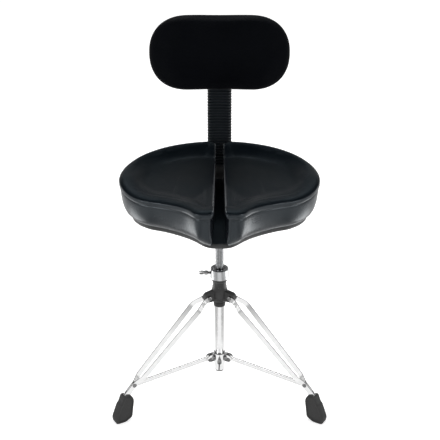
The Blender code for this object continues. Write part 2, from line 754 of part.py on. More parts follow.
def make_leg(stand, side, azimuth):
    """One folding leg on its pivot: two straps, pivot pin, strut rivets and boot."""
    out = Matrix.Rotation(azimuth, 4, "Z") @ Vector((PIVOT_R, 0, PIVOT_Z))
    pivot = empty(f"leg_{side}_axis", stand, out, azimuth)
    strut_pivot, neck, foot = leg_points()[1:]
    for number, face in ((1, -1), (2, 1)):
        place(f"leg_{side}_strap_{number}", strap_mesh(face), CHROME, pivot)
    seat = STRAP_INNER_TOP + STRAP_T + GAP
    head = rivet_head(seat, PIVOT_PIN_D, 0)
    pin = head[:-1] + [(radius, -z) for radius, z in reversed(head[:-1])]
    place(f"leg_{side}_pivot", along_y(turned(pin, SMALL_STEPS)), CHROME, pivot)
    low_seat = STRAP_INNER_LOW + STRAP_T + GAP
    head = [*rivet_head(low_seat, RIVET_D, STRAP_INNER_LOW), (0, STRAP_INNER_LOW)]
    for number, flip in ((1, math.pi), (2, 0)):
        at_strut = Matrix.Translation((strut_pivot.x, 0, strut_pivot.y)) @ Matrix.Rotation(flip, 4, "X")
        rivet = moved(along_y(turned(head, TINY_STEPS)), at_strut)
        place(f"leg_{side}_rivet_{number}", rivet, BLACK_ZINC, pivot)
    boot = place(f"leg_{side}_boot", boot_mesh(), BLACK_RUBBER, pivot)
    thickness = 2 * (STRAP_INNER_LOW + STRAP_T + GAP)
    pocket = plate([band([strut_pivot, neck, foot], STRAP_WIDTH + 2 * GAP)], thickness)
    cut(boot, upright(pocket), "strap_pocket")


def strut_span():
    """Length and drop angle of a strut between the spider's pivot and the leg's."""
    strut_pivot = leg_points()[1]
    reach = PIVOT_R + strut_pivot.x - SPIDER_PIVOT_R
    drop = SPIDER_PIVOT_Z - (PIVOT_Z + strut_pivot.y)
    return math.hypot(reach, drop), math.atan2(drop, reach)


def make_spider(stand):
    """The sliding spider on the tube, its pins and wing bolt, and the three struts."""
    spider = empty("spider_axis", stand, (0, 0, SPIDER_PIVOT_Z))
    outer = SPIDER_OD / 2
    inner = TUBE_OD / 2 + SLIDE_GAP
    edge = 0.002
    profile = [
        (outer - edge, SPIDER_RISE),
        (outer, SPIDER_RISE - edge),
        (outer, -SPIDER_EAR_R),
        (outer - edge, -SPIDER_DROP),
        (inner, -SPIDER_DROP),
        (inner, SPIDER_RISE),
    ]
    casting = place("spider_casting", turned(profile, ring=True), CHROME, spider)
    slot = STRUT_T + 2 * SLIDE_GAP
    ear_width = slot + 2 * SPIDER_EAR_T
    ear_root = (inner + outer) / 2
    length, drop = strut_span()
    for side, azimuth in LEG_AZIMUTHS.items():
        turn = Matrix.Rotation(azimuth, 4, "Z")
        end = arc((SPIDER_PIVOT_R, 0), SPIDER_EAR_R, -math.pi / 2, math.pi / 2, 8)
        ear = upright(plate([[(ear_root, -SPIDER_EAR_R), *end, (ear_root, SPIDER_EAR_R)]], ear_width))
        fuse(casting, moved(ear, turn), f"ear_{side}")
        slot_floor = SPIDER_PIVOT_R - STRUT_WIDTH / 2 - 2 * SLIDE_GAP
        slot_reach = 3 * SPIDER_EAR_R
        groove = box((slot_reach, slot, 4 * SPIDER_EAR_R), (slot_floor + slot_reach / 2, 0, 0))
        cut(casting, moved(groove, turn), f"slot_{side}")
        at_ear = turn @ Matrix.Translation((SPIDER_PIVOT_R, 0, 0))
        hole = along_y(rod(SPIDER_PIN_D + 2 * GAP, -ear_width, ear_width, TINY_STEPS))
        cut(casting, moved(hole, at_ear), f"pin_hole_{side}")
        pin = along_y(rod(SPIDER_PIN_D, -ear_width / 2 - 0.001, ear_width / 2 + 0.001, TINY_STEPS))
        place(f"spider_pin_{side}", moved(pin, at_ear), BLACK_ZINC, spider)
        hinge = empty(f"strut_{side}_axis", spider, at_ear.to_translation(), azimuth)
        ends = [Vector((0, 0)), Vector((length, 0))]
        outline = band(ends, STRUT_WIDTH)
        holes = [circle((0, 0), SPIDER_PIN_D / 2 + GAP), circle((length, 0), RIVET_D / 2 + GAP)]
        strut = upright(plate([outline, *holes], STRUT_T))
        moved(strut, Matrix.Rotation(drop, 4, "Y"))
        place(f"strut_{side}", strut, CHROME, hinge)
    bolt_spot = (0, -outer, -SPIDER_BOLT_DROP)
    hole = along_y(rod(BOLT_SHANK_D + 2 * GAP, -SPIDER_OD, -inner * 0.8))
    cut(casting, moved(hole, Matrix.Translation((0, 0, -SPIDER_BOLT_DROP))), "bolt_hole")
    axis = empty("spider_bolt_axis", spider, bolt_spot)
    axis.rotation_euler = (math.pi / 2, 0, 0)
    bolt = place_wing_bolt("spider_wing_bolt", axis, outer - inner, SPIDER_BOLT_STANDOFF)
    bolt.rotation_euler = (0, 0, SPIDER_BOLT_REST)


def make_spindle(stand):
    """The threaded spindle, shown here at its outer diameter, and the washer that the seat turns on."""
    spindle = empty("spindle_axis", stand)
    low = SPINDLE_TOP - SPINDLE_LENGTH
    place("threaded_spindle", rod(SPINDLE_OD, low, SPINDLE_TOP, ROUND_STEPS, 0.0012), CHROME, spindle)
    washer = rod(WASHER_OD, SPINDLE_TOP + GAP, SPINDLE_TOP + GAP + WASHER_T, ROUND_STEPS)
    place("spindle_washer", washer, BLACK_ZINC, spindle)
    return spindle


def smooth(value):
    value = max(0.0, min(1.0, value))
    return value * value * (3 - 2 * value)


def bezier(points, steps):
    corners = [Vector((x, y, 0)) for x, y in points]
    return [Vector((p.x, p.y)) for p in interpolate_bezier(*corners, steps + 1)]


def lobe_outline():
    """The plan outline of the right-hand cushion: nose, thigh cut, side, rear arc and channel wall."""
    inner = CHANNEL_WIDTH / 2
    corner = CHANNEL_CORNER_R
    half = SEAT_HALF_WIDTH
    depth = SEAT_REAR - SEAT_CENTRE_Y
    nose = -SEAT_NOSE
    mouth = inner + CHANNEL_FLARE
    front = [Vector(p) for p in arc((mouth + corner, nose + corner), corner, math.pi, math.pi * 1.5, 4)]
    shoulder = (NOSE_SHOULDER_X, nose)
    hip = Vector((HIP_X, -HIP_Y))
    thigh = Vector((THIGH_X, -THIGH_Y))
    hip_slope = Vector((0.55, 0.83)) * 0.024
    thigh_slope = Vector((0.95, 0.31)) * 0.032
    side = (half, SEAT_CENTRE_Y)
    front += bezier([shoulder, (NOSE_SHOULDER_X + 0.012, nose + 0.001), hip - hip_slope / 2, hip], 4)
    front += bezier([hip, hip + hip_slope, thigh - thigh_slope, thigh], 6)[1:]
    front += bezier([thigh, thigh + thigh_slope, (half, SEAT_CENTRE_Y - 0.055), side], 8)[1:]
    # The rear arc is a quarter ellipse that stops at the rounded corner beside the channel.
    last = math.acos((inner + corner) / half)
    steps = 14
    rear = []
    for i in range(1, steps + 1):
        turn = last * i / steps
        rear.append(Vector((half * math.cos(turn), SEAT_CENTRE_Y + depth * math.sin(turn))))
    corner_y = rear[-1].y - corner
    rear += [Vector(p) for p in arc((inner + corner, corner_y), corner, math.pi / 2, math.pi, 4)][1:]
    wall_steps = 10
    wall = [rear[-1].lerp(front[0], i / wall_steps) for i in range(1, wall_steps)]
    return front + rear + wall


def outward_normals(outline):
    normals = []
    for i, point in enumerate(outline):
        along = outline[(i + 1) % len(outline)] - outline[i - 1]
        normals.append(Vector((along.y, -along.x)).normalized())
    return normals


def channel_share(point):
    """1 beside the channel, 0 out in the lobe."""
    return 1 - smooth((point.x - CHANNEL_WIDTH / 2) / (2 * CHANNEL_CORNER_R))


def edge_height(point):
    """Height of the cushion's top edge: full at sides and rear, lower at thigh, nose and channel."""
    forward = smooth((SEAT_CENTRE_Y - point.y) / THIGH_Y)
    thigh = forward * smooth((point.x - NOSE_SHOULDER_X) / (THIGH_X - NOSE_SHOULDER_X))
    nose = forward - thigh
    rear = smooth((point.y - SEAT_CENTRE_Y) / (SEAT_REAR - SEAT_CENTRE_Y))
    side = SEAT_Z - RIM_RISE + REAR_RISE * rear
    return side - THIGH_DROP * thigh - NOSE_DROP * nose - CHANNEL_DROP * channel_share(point)


def tuck_at(point, normal):
    """How far the cushion's wall draws in at its foot: least at the channel, the nose's tip and the rear."""
    inner = CHANNEL_WIDTH / 2
    tip = smooth(-normal.y) * (1 - smooth((point.x - inner) / (NOSE_SHOULDER_X - inner)))
    outer = SIDE_TUCK + (NOSE_TUCK - SIDE_TUCK) * tip + (REAR_TUCK - SIDE_TUCK) * smooth(normal.y)
    wall = smooth(-normal.x) * channel_share(point)
    return outer + (CHANNEL_TUCK - outer) * wall


def lobe_rings():
    """Rings of the right-hand cushion, from its foot up the wall and over the rim into the dish."""
    outline = lobe_outline()
    normals = outward_normals(outline)
    spine_low = Vector((SEAT_HALF_WIDTH * 0.42, -THIGH_Y * 0.6))
    spine_high = Vector((SEAT_HALF_WIDTH * 0.44, SEAT_REAR * 0.5))
    # Each wall ring is a share of the tuck and a share of the wall's height; the seam lies under the lip.
    wall = ((1.0, 0.0), (0.62, 0.10), (0.34, 0.30), (0.16, 0.58), (0.12, 0.84), (0.0, 0.88), (0.0, 0.97))
    # Each top ring is a share of the way to the spine, a share of the rim's rise and a share of the dish.
    top = (
        (0.02, 0.3, 0.0),
        (0.10, 1.0, 0.0),
        (0.19, 0.9, 0.2),
        (0.34, 0.3, 0.75),
        (0.46, 0.0, 1.0),
        (0.9, 0.0, 1.0),
    )
    rings = []
    for tuck_share, height_share in wall:
        ring = []
        for point, normal in zip(outline, normals):
            spot = point - normal * tuck_at(point, normal) * tuck_share
            z = CUSHION_BOTTOM + (edge_height(point) - CUSHION_BOTTOM) * height_share
            ring.append(Vector((spot.x, spot.y, z)))
        rings.append(ring)
    pan = SEAT_Z - DISH_DEPTH
    spine = spine_high - spine_low
    for inward, rise, dish in top:
        ring = []
        for point in outline:
            share = max(0.0, min(1.0, (point - spine_low).dot(spine) / spine.length_squared))
            spot = point.lerp(spine_low + spine * share, inward)
            rim = edge_height(point) + RIM_RISE * rise
            ring.append(Vector((spot.x, spot.y, rim + (pan - rim) * dish)))
        rings.append(ring)
    return rings


def board_outline(extra):
    """The board's plan: the foot of both cushions and the channel between them, drawn in by extra."""
    foot = lobe_rings()[0]
    half = [Vector((p.x, p.y)) for p in foot if p.x > CHANNEL_WIDTH / 2 + CHANNEL_CORNER_R]
    half.sort(key=lambda p: math.atan2(p.y - SEAT_CENTRE_Y, p.x))
    whole = half + [Vector((-p.x, p.y)) for p in reversed(half)]
    normals = outward_normals(whole)
    return [p - n * (BOARD_MARGIN + extra) for p, n in zip(whole, normals)]


def make_seat(spindle):
    """Board, cushions, mounting plate and socket, which turn together on the spindle."""
    seat = empty("seat_axis", spindle)
    bulge = BOARD_BOTTOM + BOARD_T * 0.3
    levels = ((BOARD_TAPER, BOARD_BOTTOM), (BOARD_TAPER * 0.25, bulge), (0, BOARD_TOP))
    rings = [[Vector((p.x, p.y, z)) for p in board_outline(extra)] for extra, z in levels]
    place("seat_board", loft(rings), BOARD_PLASTIC, seat)
    right = lobe_rings()
    left = [[Vector((-p.x, p.y, p.z)) for p in ring] for ring in right]
    place("seat_cushion_right", loft(right), BLACK_VINYL, seat, smooth_angle=60)
    place("seat_cushion_left", loft(left), BLACK_VINYL, seat, smooth_angle=60)

    outline = rounded_rectangle(PLATE_SIDE, PLATE_SIDE, PLATE_CORNER_R)
    spots = square_pattern(PLATE_SCREW_SPACING, PLATE_SCREW_SPACING)
    flange_spots = circle((0, 0), SOCKET_SCREW_PCD / 2, 4, SOCKET_SCREW_AZIMUTH)
    holes = [circle(spot, SCREW_HOLE_D / 2) for spot in spots + flange_spots]
    middle = (PLATE_TOP + PLATE_BOTTOM) / 2
    plate_mesh = moved(plate([outline, *holes], PLATE_T), Matrix.Translation((0, 0, middle)))
    place("mount_plate", plate_mesh, BLACK_STEEL, seat)

    flange = SOCKET_FLANGE_OD / 2
    boss = SOCKET_OD / 2
    bore = SPINDLE_OD / 2 + GAP
    counterbore = WASHER_OD / 2 + GAP
    flange_low = SOCKET_TOP - SOCKET_FLANGE_T
    fillet = 0.004
    profile = [
        (flange, SOCKET_TOP),
        (flange, flange_low),
        (boss + fillet, flange_low),
        (boss, flange_low - fillet),
        (boss, SOCKET_BOTTOM + 0.0015),
        (boss - 0.0015, SOCKET_BOTTOM),
        (bore, SOCKET_BOTTOM),
        (bore, SPINDLE_TOP),
        (counterbore, SPINDLE_TOP),
        (counterbore, SOCKET_TOP),
    ]
    socket = place("seat_socket", turned(profile, ring=True), BLACK_CASTING, seat)
    for x, y in flange_spots:
        hole = rod(SCREW_HOLE_D, flange_low - SOCKET_FLANGE_T, SOCKET_TOP + SOCKET_FLANGE_T, TINY_STEPS)
        cut(socket, moved(hole, Matrix.Translation((x, y, 0))), "flange_hole")
    bolt_z = SOCKET_TOP - SOCKET_BOLT_DROP
    at_bolt = Matrix.Translation((0, 0, bolt_z)) @ Matrix.Rotation(SOCKET_BOLT_AZIMUTH, 4, "Z")
    tip = bore + GAP
    head_seat = boss + GAP
    head_depth = 0.005
    shank = SOCKET_BOLT_D / 2
    head = SOCKET_BOLT_D * 0.85
    head_top = head_seat + head_depth
    bolt = [(0, head_top), (head, head_top), (head, head_seat), (shank, head_seat)]
    bolt += [(shank, tip), (0, tip)]
    place("socket_bolt", moved(along_y(turned(bolt, 6)), at_bolt), BLACK_ZINC, seat)
    hole = along_y(rod(SOCKET_BOLT_D + 2 * GAP, bore * 0.8, SOCKET_OD))
    cut(socket, moved(hole, at_bolt), "bolt_hole")
    return seat


def ribbon(path, width, thickness, name, material, parent):
    """A sheet of constant thickness along a path in the YZ plane, width along X."""

    def build(bm):
        rows = [[bm.verts.new((sx * width / 2, y, z)) for sx in (-1, 1)] for y, z in path]
        for low, high in zip(rows, rows[1:]):
            bm.faces.new((low[0], low[1], high[1], high[0]))

    part = place(name, mesh_from(build), material, parent)
    solid = part.modifiers.new("Solidify", "SOLIDIFY")
    solid.thickness = thickness
    solid.offset = 0
    solid.use_even_offset = True
    return part


def bar_path():
    """The bar's middle line: forward under the board, round the bend and up behind the seat."""
    front = PLATE_SIDE / 2 + BAR_FRONT_MARGIN
    bend = arc((BAR_Y - BAR_BEND_R, BAR_Z + BAR_BEND_R), BAR_BEND_R, -math.pi / 2, 0, 8)
    return [(front, BAR_Z), *bend, (BAR_Y, BAR_TOP_Z)]


def ribbed_cover(low, high):
    """A bellows of rounded-rectangle section: two points a rib, wide at the crest and narrow at the root."""
    section = bpy.data.curves.new("section", "CURVE")
    section.dimensions = "2D"
    spline = section.splines.new("POLY")
    points = rounded_rectangle(COVER_RIB_WIDTH, COVER_RIB_DEPTH, COVER_RIB_DEPTH * 0.36, 3)
    spline.points.add(len(points) - 1)
    for target, (x, y) in zip(spline.points, points):
        target.co = (x, y, 0, 1)
    spline.use_cyclic_u = True
    section_object = bpy.data.objects.new("section", section)
    bpy.context.scene.collection.objects.link(section_object)

    ribs = int((high - low) / COVER_PITCH)
    pitch = (high - low) / ribs
    path = bpy.data.curves.new("path", "CURVE")
    path.dimensions = "3D"
    path.bevel_mode = "OBJECT"
    path.bevel_object = section_object
    path.use_fill_caps = True
    path.twist_mode = "Z_UP"
    spline = path.splines.new("POLY")
    heights = [low] + [low + pitch * (i + share) for i in range(ribs) for share in (0.28, 0.72)] + [high]
    spline.points.add(len(heights) - 1)
    for i, (target, z) in enumerate(zip(spline.points, heights)):
        crest = 0 < i < len(heights) - 1 and i % 2 == 1
        target.co = (0, BAR_Y, z, 1)
        target.radius = 1.0 if crest else COVER_CORE_SHARE
    obj = bpy.data.objects.new("cover", path)
    bpy.context.scene.collection.objects.link(obj)
    mesh = baked(obj)
    bpy.data.objects.remove(section_object)
    return mesh


def knob(stud_length):
    """A lobed clamping knob along +Z with its neck at Z = 0 and its stud down to -stud_length."""
    lobes = []
    steps = KNOB_LOBES * 6
    for i in range(steps):
        turn = 2 * math.pi * i / steps
        radius = KNOB_R - KNOB_LOBE + KNOB_LOBE * math.cos(KNOB_LOBES * turn)
        lobes.append((radius * math.cos(turn), radius * math.sin(turn)))
    edge = 0.0025
    low, high = KNOB_NECK_L, KNOB_NECK_L + KNOB_H
    share = 1 - edge / KNOB_R
    levels = ((share, low), (1.0, low + edge), (1.0, high - edge), (share, high))
    head = loft([[Vector((x * s, y * s, z)) for x, y in lobes] for s, z in levels])
    neck = KNOB_NECK_D / 2
    stud = KNOB_STUD_D / 2
    overlap = 0.003
    top = low + overlap
    stem = [(0, top), (neck, top), (neck, 0), (stud, 0), (stud, -stud_length), (0, -stud_length)]
    return head, turned(stem, SMALL_STEPS)


def place_knob(name, parent, stud_length):
    head, stem = knob(stud_length)
    part = place(name, head, BLACK_PLASTIC, parent)
    fuse(part, stem, "stem")
    return part


def make_carrier(seat):
    """Bar guide, bar, ribbed cover and the knob that clamps the bar's reach."""
    wall = BAR_WIDTH / 2 + SLIDE_GAP
    floor = BAR_Z - BAR_T / 2 - SLIDE_GAP
    top = BOARD_BOTTOM - GAP
    lip = wall + GUIDE_T
    reach = lip + GUIDE_FLANGE
    under = top - GUIDE_T
    right = [(wall, floor), (wall, top), (reach, top), (reach, under), (lip, under), (lip, floor - GUIDE_T)]
    hat = [(-x, z) for x, z in reversed(right)] + [(x, z) for x, z in right]
    guide = place("bar_guide", upright(plate([hat], GUIDE_LENGTH)), BLACK_STEEL, seat, (0, GUIDE_Y, 0))
    spots = square_pattern(2 * lip + GUIDE_FLANGE, GUIDE_LENGTH * 0.6)
    for x, y in spots:
        hole = rod(SCREW_HOLE_D, top - 2 * GUIDE_T, top + GUIDE_T, TINY_STEPS)
        cut(guide, moved(hole, Matrix.Translation((x, y, 0))), "flange_hole")
    cut(guide, rod(KNOB_STUD_D + 2 * GAP, floor - 2 * GUIDE_T, floor + GUIDE_T), "stud_hole")

    neck_z = floor - GUIDE_T - GAP
    axis = empty("bar_knob_axis", seat, (0, GUIDE_Y, neck_z))
    axis.rotation_euler = (math.pi, 0, 0)
    place_knob("bar_knob", axis, BAR_Z - BAR_T / 2 - GAP - neck_z)

    carrier = empty("bar_axis", seat, (0, 0, BAR_Z))
    path = [(y, z - BAR_Z) for y, z in bar_path()]
    bar = ribbon(path, BAR_WIDTH, BAR_T, "backrest_bar", BLACK_STEEL, carrier)
    soften(bar, 0.0012, 1, 60)
    low = BAR_Z + BAR_BEND_R + GAP
    cover = moved(ribbed_cover(low, CARRIAGE_BOTTOM - GAP), Matrix.Translation((0, 0, -BAR_Z)))
    cover = place("spine_cover", cover, BLACK_RUBBER, carrier, smooth_angle=25)
    bore = (BAR_WIDTH + 2 * COVER_CLEARANCE, BAR_T + 2 * COVER_CLEARANCE, 2 * (BAR_TOP_Z - BAR_Z))
    cut(cover, box(bore, (0, BAR_Y, 0)), "bore")
    return carrier


def pad_outline(inset):
    """The pad's front outline: round ends, with top and bottom edges drawn in a little at the middle."""
    radius = PAD_HEIGHT / 2
    straight = PAD_WIDTH / 2 - radius
    edge_steps = 8
    points = []
    for sign, start in ((1, -math.pi / 2), (-1, math.pi / 2)):
        points += [Vector(p) for p in arc((sign * straight, 0), radius - inset, start, start + math.pi, 14)]
        for i in range(1, edge_steps):
            x = sign * straight * (1 - 2 * i / edge_steps)
            waist = PAD_WAIST * math.cos(math.pi * x / (2 * straight)) ** 2
            points.append(Vector((x, sign * (radius - inset - waist))))
    return points


def pad_rings():
    """Rings of the backrest pad, from its back over its rounded edge to the crowned front."""
    straight = PAD_WIDTH / 2 - PAD_HEIGHT / 2
    # Each ring is a share of the back's inset and a share of the thickness under the crown.
    body = PAD_T - PAD_CROWN
    wall = ((1.0, 0.0), (0.25, 0.16), (0.0, 0.42), (0.2, 0.7), (0.75, 0.9))
    crown = ((0.14, 0.25), (0.30, 0.62), (0.55, 0.92), (0.9, 1.0))
    rings = []
    for inset_share, depth_share in wall:
        outline = pad_outline(PAD_BACK_INSET * inset_share)
        rings.append([Vector((p.x, PAD_BACK_Y - body * depth_share, PAD_Z + p.y)) for p in outline])
    outline = pad_outline(PAD_BACK_INSET)
    for inward, rise in crown:
        ring = []
        for p in outline:
            middle = Vector((max(-straight, min(straight, p.x)), 0))
            spot = p.lerp(middle, inward)
            ring.append(Vector((spot.x, PAD_BACK_Y - body - PAD_CROWN * rise, PAD_Z + spot.y)))
        rings.append(ring)
    return rings


def make_backrest(carrier):
    """Pad, shell, carriage and clamping knob, which slide together on the bar."""
    backrest = empty("backrest_axis", carrier, (0, 0, -BAR_Z))
    place("backrest_cushion", loft(pad_rings()), BLACK_VINYL, backrest, smooth_angle=60)

    levels = ((0.0, 0.0), (0.0, 0.45), (0.35, 0.85), (0.8, 1.0))
    rings = []
    for inset_share, depth_share in levels:
        outline = pad_outline(PAD_BACK_INSET + SHELL_INSET * (0.3 + inset_share))
        y = SHELL_BACK_Y - SHELL_T * (1 - depth_share)
        rings.append([Vector((p.x, y, PAD_Z + p.y)) for p in outline])
    place("backrest_shell", loft(rings), BLACK_PLASTIC, backrest)

    middle_z = CARRIAGE_BOTTOM + CARRIAGE_H / 2
    at_carriage = Matrix.Translation((0, BAR_Y, middle_z))
    flange_y = SHELL_BACK_Y + GAP + CARRIAGE_T / 2 - BAR_Y
    outline = rounded_rectangle(CARRIAGE_FLANGE_W, CARRIAGE_H, 0.008)
    spots = square_pattern(CARRIAGE_SCREW_DX, CARRIAGE_SCREW_DZ)
    holes = [circle(spot, SCREW_HOLE_D / 2) for spot in spots]
    flange = upright(plate([outline, *holes], CARRIAGE_T))
    flange = moved(flange, Matrix.Translation((0, flange_y, 0)))
    carriage = place("backrest_carriage", moved(flange, at_carriage), BLACK_STEEL, backrest)
    sleeve_width = BAR_WIDTH + 2 * (SLIDE_GAP + CARRIAGE_T)
    sleeve = box((sleeve_width, CARRIAGE_DEPTH - GAP, CARRIAGE_H - 0.002), (0, GAP / 2, 0))
    fuse(carriage, moved(sleeve, at_carriage), "sleeve")
    hollow = box((BAR_WIDTH + 2 * SLIDE_GAP, BAR_T + 2 * SLIDE_GAP, 2 * CARRIAGE_H))
    cut(carriage, moved(hollow, at_carriage), "hollow")
    hole = along_y(rod(KNOB_STUD_D + 2 * GAP, BAR_T / 2, CARRIAGE_DEPTH))
    cut(carriage, moved(hole, at_carriage), "stud_hole")

    neck_y = BAR_Y + CARRIAGE_DEPTH / 2 + GAP
    axis = empty("backrest_knob_axis", backrest, (0, neck_y, middle_z))
    axis.rotation_euler = (-math.pi / 2, 0, 0)
    place_knob("backrest_knob", axis, neck_y - BAR_Y - BAR_T / 2 - GAP)


def centre_on_origin(root):
    """Slides the whole throne so that the middle of its footprint's box is at the origin."""
    bpy.context.view_layer.update()
    graph = bpy.context.evaluated_depsgraph_get()
    reach = []
    for part in PARTS.objects:
        if part.type == "MESH":
            solid = part.evaluated_get(graph)
            reach += [(solid.matrix_world @ vert.co).y for vert in solid.data.vertices]
    root.location.y = -(min(reach) + max(reach)) / 2
    bpy.context.view_layer.update()


def main():
    throne = empty("throne")
    make_casting(throne)
    make_stand_core(throne)
    make_lock(throne)
    for side, azimuth in LEG_AZIMUTHS.items():
        make_leg(throne, side, azimuth)
    make_spider(throne)
    spindle = make_spindle(throne)
    seat = make_seat(spindle)
    carrier = make_carrier(seat)
    make_backrest(carrier)
    centre_on_origin(throne)


main()
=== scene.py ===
"""Looks of the drum throne around its solids: materials, upholstery, thread, screws, light and camera."""

from math import acos, atan2, copysign, cos, pi, radians, sin, sqrt

import bmesh
import bpy
import numpy as np
from mathutils import Matrix, Vector, kdtree
from mathutils.geometry import interpolate_bezier


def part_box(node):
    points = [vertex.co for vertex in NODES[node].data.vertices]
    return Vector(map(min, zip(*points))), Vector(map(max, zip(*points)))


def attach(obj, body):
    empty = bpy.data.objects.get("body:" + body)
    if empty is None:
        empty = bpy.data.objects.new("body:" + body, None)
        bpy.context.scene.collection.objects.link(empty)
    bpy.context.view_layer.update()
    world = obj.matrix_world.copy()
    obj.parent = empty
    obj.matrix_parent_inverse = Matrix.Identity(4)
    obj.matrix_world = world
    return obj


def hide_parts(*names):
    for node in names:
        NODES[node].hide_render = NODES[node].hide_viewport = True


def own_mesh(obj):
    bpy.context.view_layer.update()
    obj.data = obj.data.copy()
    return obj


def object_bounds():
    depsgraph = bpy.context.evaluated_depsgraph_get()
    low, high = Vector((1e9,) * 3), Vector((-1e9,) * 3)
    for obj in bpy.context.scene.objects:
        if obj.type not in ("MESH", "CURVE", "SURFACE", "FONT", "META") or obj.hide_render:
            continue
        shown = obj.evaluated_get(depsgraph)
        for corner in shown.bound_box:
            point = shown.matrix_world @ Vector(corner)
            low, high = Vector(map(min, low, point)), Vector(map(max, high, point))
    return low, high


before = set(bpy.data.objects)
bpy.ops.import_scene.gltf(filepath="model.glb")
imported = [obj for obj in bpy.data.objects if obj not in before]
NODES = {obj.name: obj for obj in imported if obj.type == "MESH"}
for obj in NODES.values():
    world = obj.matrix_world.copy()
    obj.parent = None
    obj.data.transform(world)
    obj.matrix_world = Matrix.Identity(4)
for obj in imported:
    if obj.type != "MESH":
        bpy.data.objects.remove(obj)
CAD_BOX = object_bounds()
SCENE = bpy.context.scene
AXIS_Y = sum(corner.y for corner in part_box("centre_tube")) / 2

# Camera, fitted to the photograph
FRAME_PIXELS = 440
FOCAL_PIXELS = 1323.0
AXIS_PIXEL = 219.5
CAMERA_BACK = 2.741
CAMERA_UP = 1.791
CAMERA_DOWN = radians(25.86)

# Seat, in plan about the tripod's axis
SEAT_Z = 0.571
FOOT_Z = 0.481
HALF_WIDTH = 0.2285
REAR_Y = 0.205
CENTRE_Y = 0.006
NOSE_Y = -0.179
SHOULDER_X = 0.045
FRONT_X = 0.036
THIGH = (0.155, -0.094)
HIP = (0.068, -0.153)
# Directions and reach of the outline's curves
HIP_WAY, HIP_REACH, HIP_SHARE = Vector((0.55, 0.83)), 0.024, 0.6
THIGH_WAY, THIGH_REACH = Vector((0.95, 0.31)), 0.032
NOSE_REACH, NOSE_LIFT, SIDE_REACH = 0.018, 0.001, 0.055
CHANNEL_HALF = 0.009
CHANNEL_MOUTH = 0.012
CHANNEL_CORNER = 0.01
CHANNEL_FADE = 0.02
REAR_CORNER = 0.016
SIDE_TUCK, NOSE_TUCK, REAR_TUCK, CHANNEL_TUCK = 0.024, 0.009, 0.009, 0.0015
THIGH_DROP, NOSE_DROP = 0.014, 0.005
RIM_RISE, REAR_RISE, DISH = 0.005, 0.007, 0.018
BOARD_TOP, BOARD_BOTTOM = 0.4807, 0.4647

# Legs and boots; places in a leg are (outward, up) from its pivot
LEG_AZIMUTHS = {"left": radians(210), "right": radians(330), "rear": radians(90)}
PIVOT_R, PIVOT_Z = 0.031, 0.268
STRAP_WIDTH, STRAP_T, STRAP_BEND = 0.0135, 0.002, 0.012
STRAP_PATH = ((0, 0), (0.026, -0.012), (0.2006, -0.1794), (0.221, -0.2), (0.2254, -0.2146))
# Inner face's distance from the leg's middle plane, by the way along the strap
STRAP_SPREAD = (
    (0, 0.0073), (0.014, 0.0073), (0.036, 0.0175), (0.246, 0.01), (0.265, 0.0018), (0.4, 0.0018),
)
BOOT_OUTLINE = (
    (0.2315, -0.1975), (0.2105, -0.2025), (0.206, -0.213), (0.212, -0.258), (0.2288, -0.268),
    (0.2538, -0.268), (0.256, -0.254), (0.2431, -0.2206), (0.239, -0.2172),
)
BOOT_WIDTH, BOOT_CORNER = 0.0245, 0.0055

# Backrest pad, ribbed cover and spindle
PAD_WIDTH, PAD_HEIGHT, PAD_DEPTH, PAD_CROWN = 0.329, 0.181, 0.042, 0.007
PAD_WAIST, PAD_SQUARE = 0.0008, 2.25
COVER_WIDTH, COVER_DEPTH, COVER_CORE = 0.058, 0.0245, 0.77
COVER_CORNER = COVER_DEPTH * 0.36
COVER_PITCH = 0.007
BAR_WIDTH, BAR_DEPTH, BAR_CLEARANCE, BAR_CORNER = 0.038, 0.008, 0.0007, 0.001
THREAD_PITCH, THREAD_DEPTH = 0.0036, 0.0013


# Materials


def add(tree, kind, values=(), family="Shader", **settings):
    """A node with its settings, and with its sockets linked or set."""
    made = tree.nodes.new(f"{family}Node{kind}")
    for key, value in settings.items():
        setattr(made, key, value)
    for socket, value in values:
        if isinstance(value, bpy.types.NodeSocket):
            tree.links.new(value, made.inputs[socket])
        else:
            made.inputs[socket].default_value = value
    return made


def position(tree, stretch=(1, 1, 1)):
    spot = add(tree, "TexCoord").outputs["Object"]
    return add(tree, "Mapping", [("Vector", spot), ("Scale", stretch)]).outputs["Vector"]


def maths(tree, operation, *values):
    return add(tree, "Math", list(enumerate(values)), operation=operation).outputs[0]


def blended(tree, share, first, second):
    values = [(0, share), (6, first), (7, second)]
    return add(tree, "Mix", values, data_type="RGBA").outputs[2]


def noise(tree, scale, detail, stretch=(1, 1, 1)):
    values = [("Vector", position(tree, stretch)), ("Scale", scale), ("Detail", detail)]
    return add(tree, "TexNoise", values).outputs["Fac"]


def span(tree, value, low, high, to_low, to_high):
    values = [("Value", value), ("From Min", low), ("From Max", high)]
    values += [("To Min", to_low), ("To Max", to_high)]
    return add(tree, "MapRange", values).outputs["Result"]


# Reliefs: functions that add a height to a material's nodes
# Width of a crease in the grain, and the wave texture's radians a metre at scale 1
CREASE, WAVE_RATE = 0.22, 20


def speckle(scale, detail=4.0):
    return lambda tree: noise(tree, scale, detail)


def scratches(scale, stretch=0.06):
    return lambda tree: noise(tree, scale, detail=2.0, stretch=(1, 1, stretch))


def pebbles(scale):
    """Leather grain: rounded cells with narrow creases between them."""

    def height(tree):
        values = [("Vector", position(tree)), ("Scale", scale)]
        cells = add(tree, "TexVoronoi", values, feature="DISTANCE_TO_EDGE")
        return span(tree, cells.outputs["Distance"], 0.0, CREASE, 0.0, 1.0)

    return height


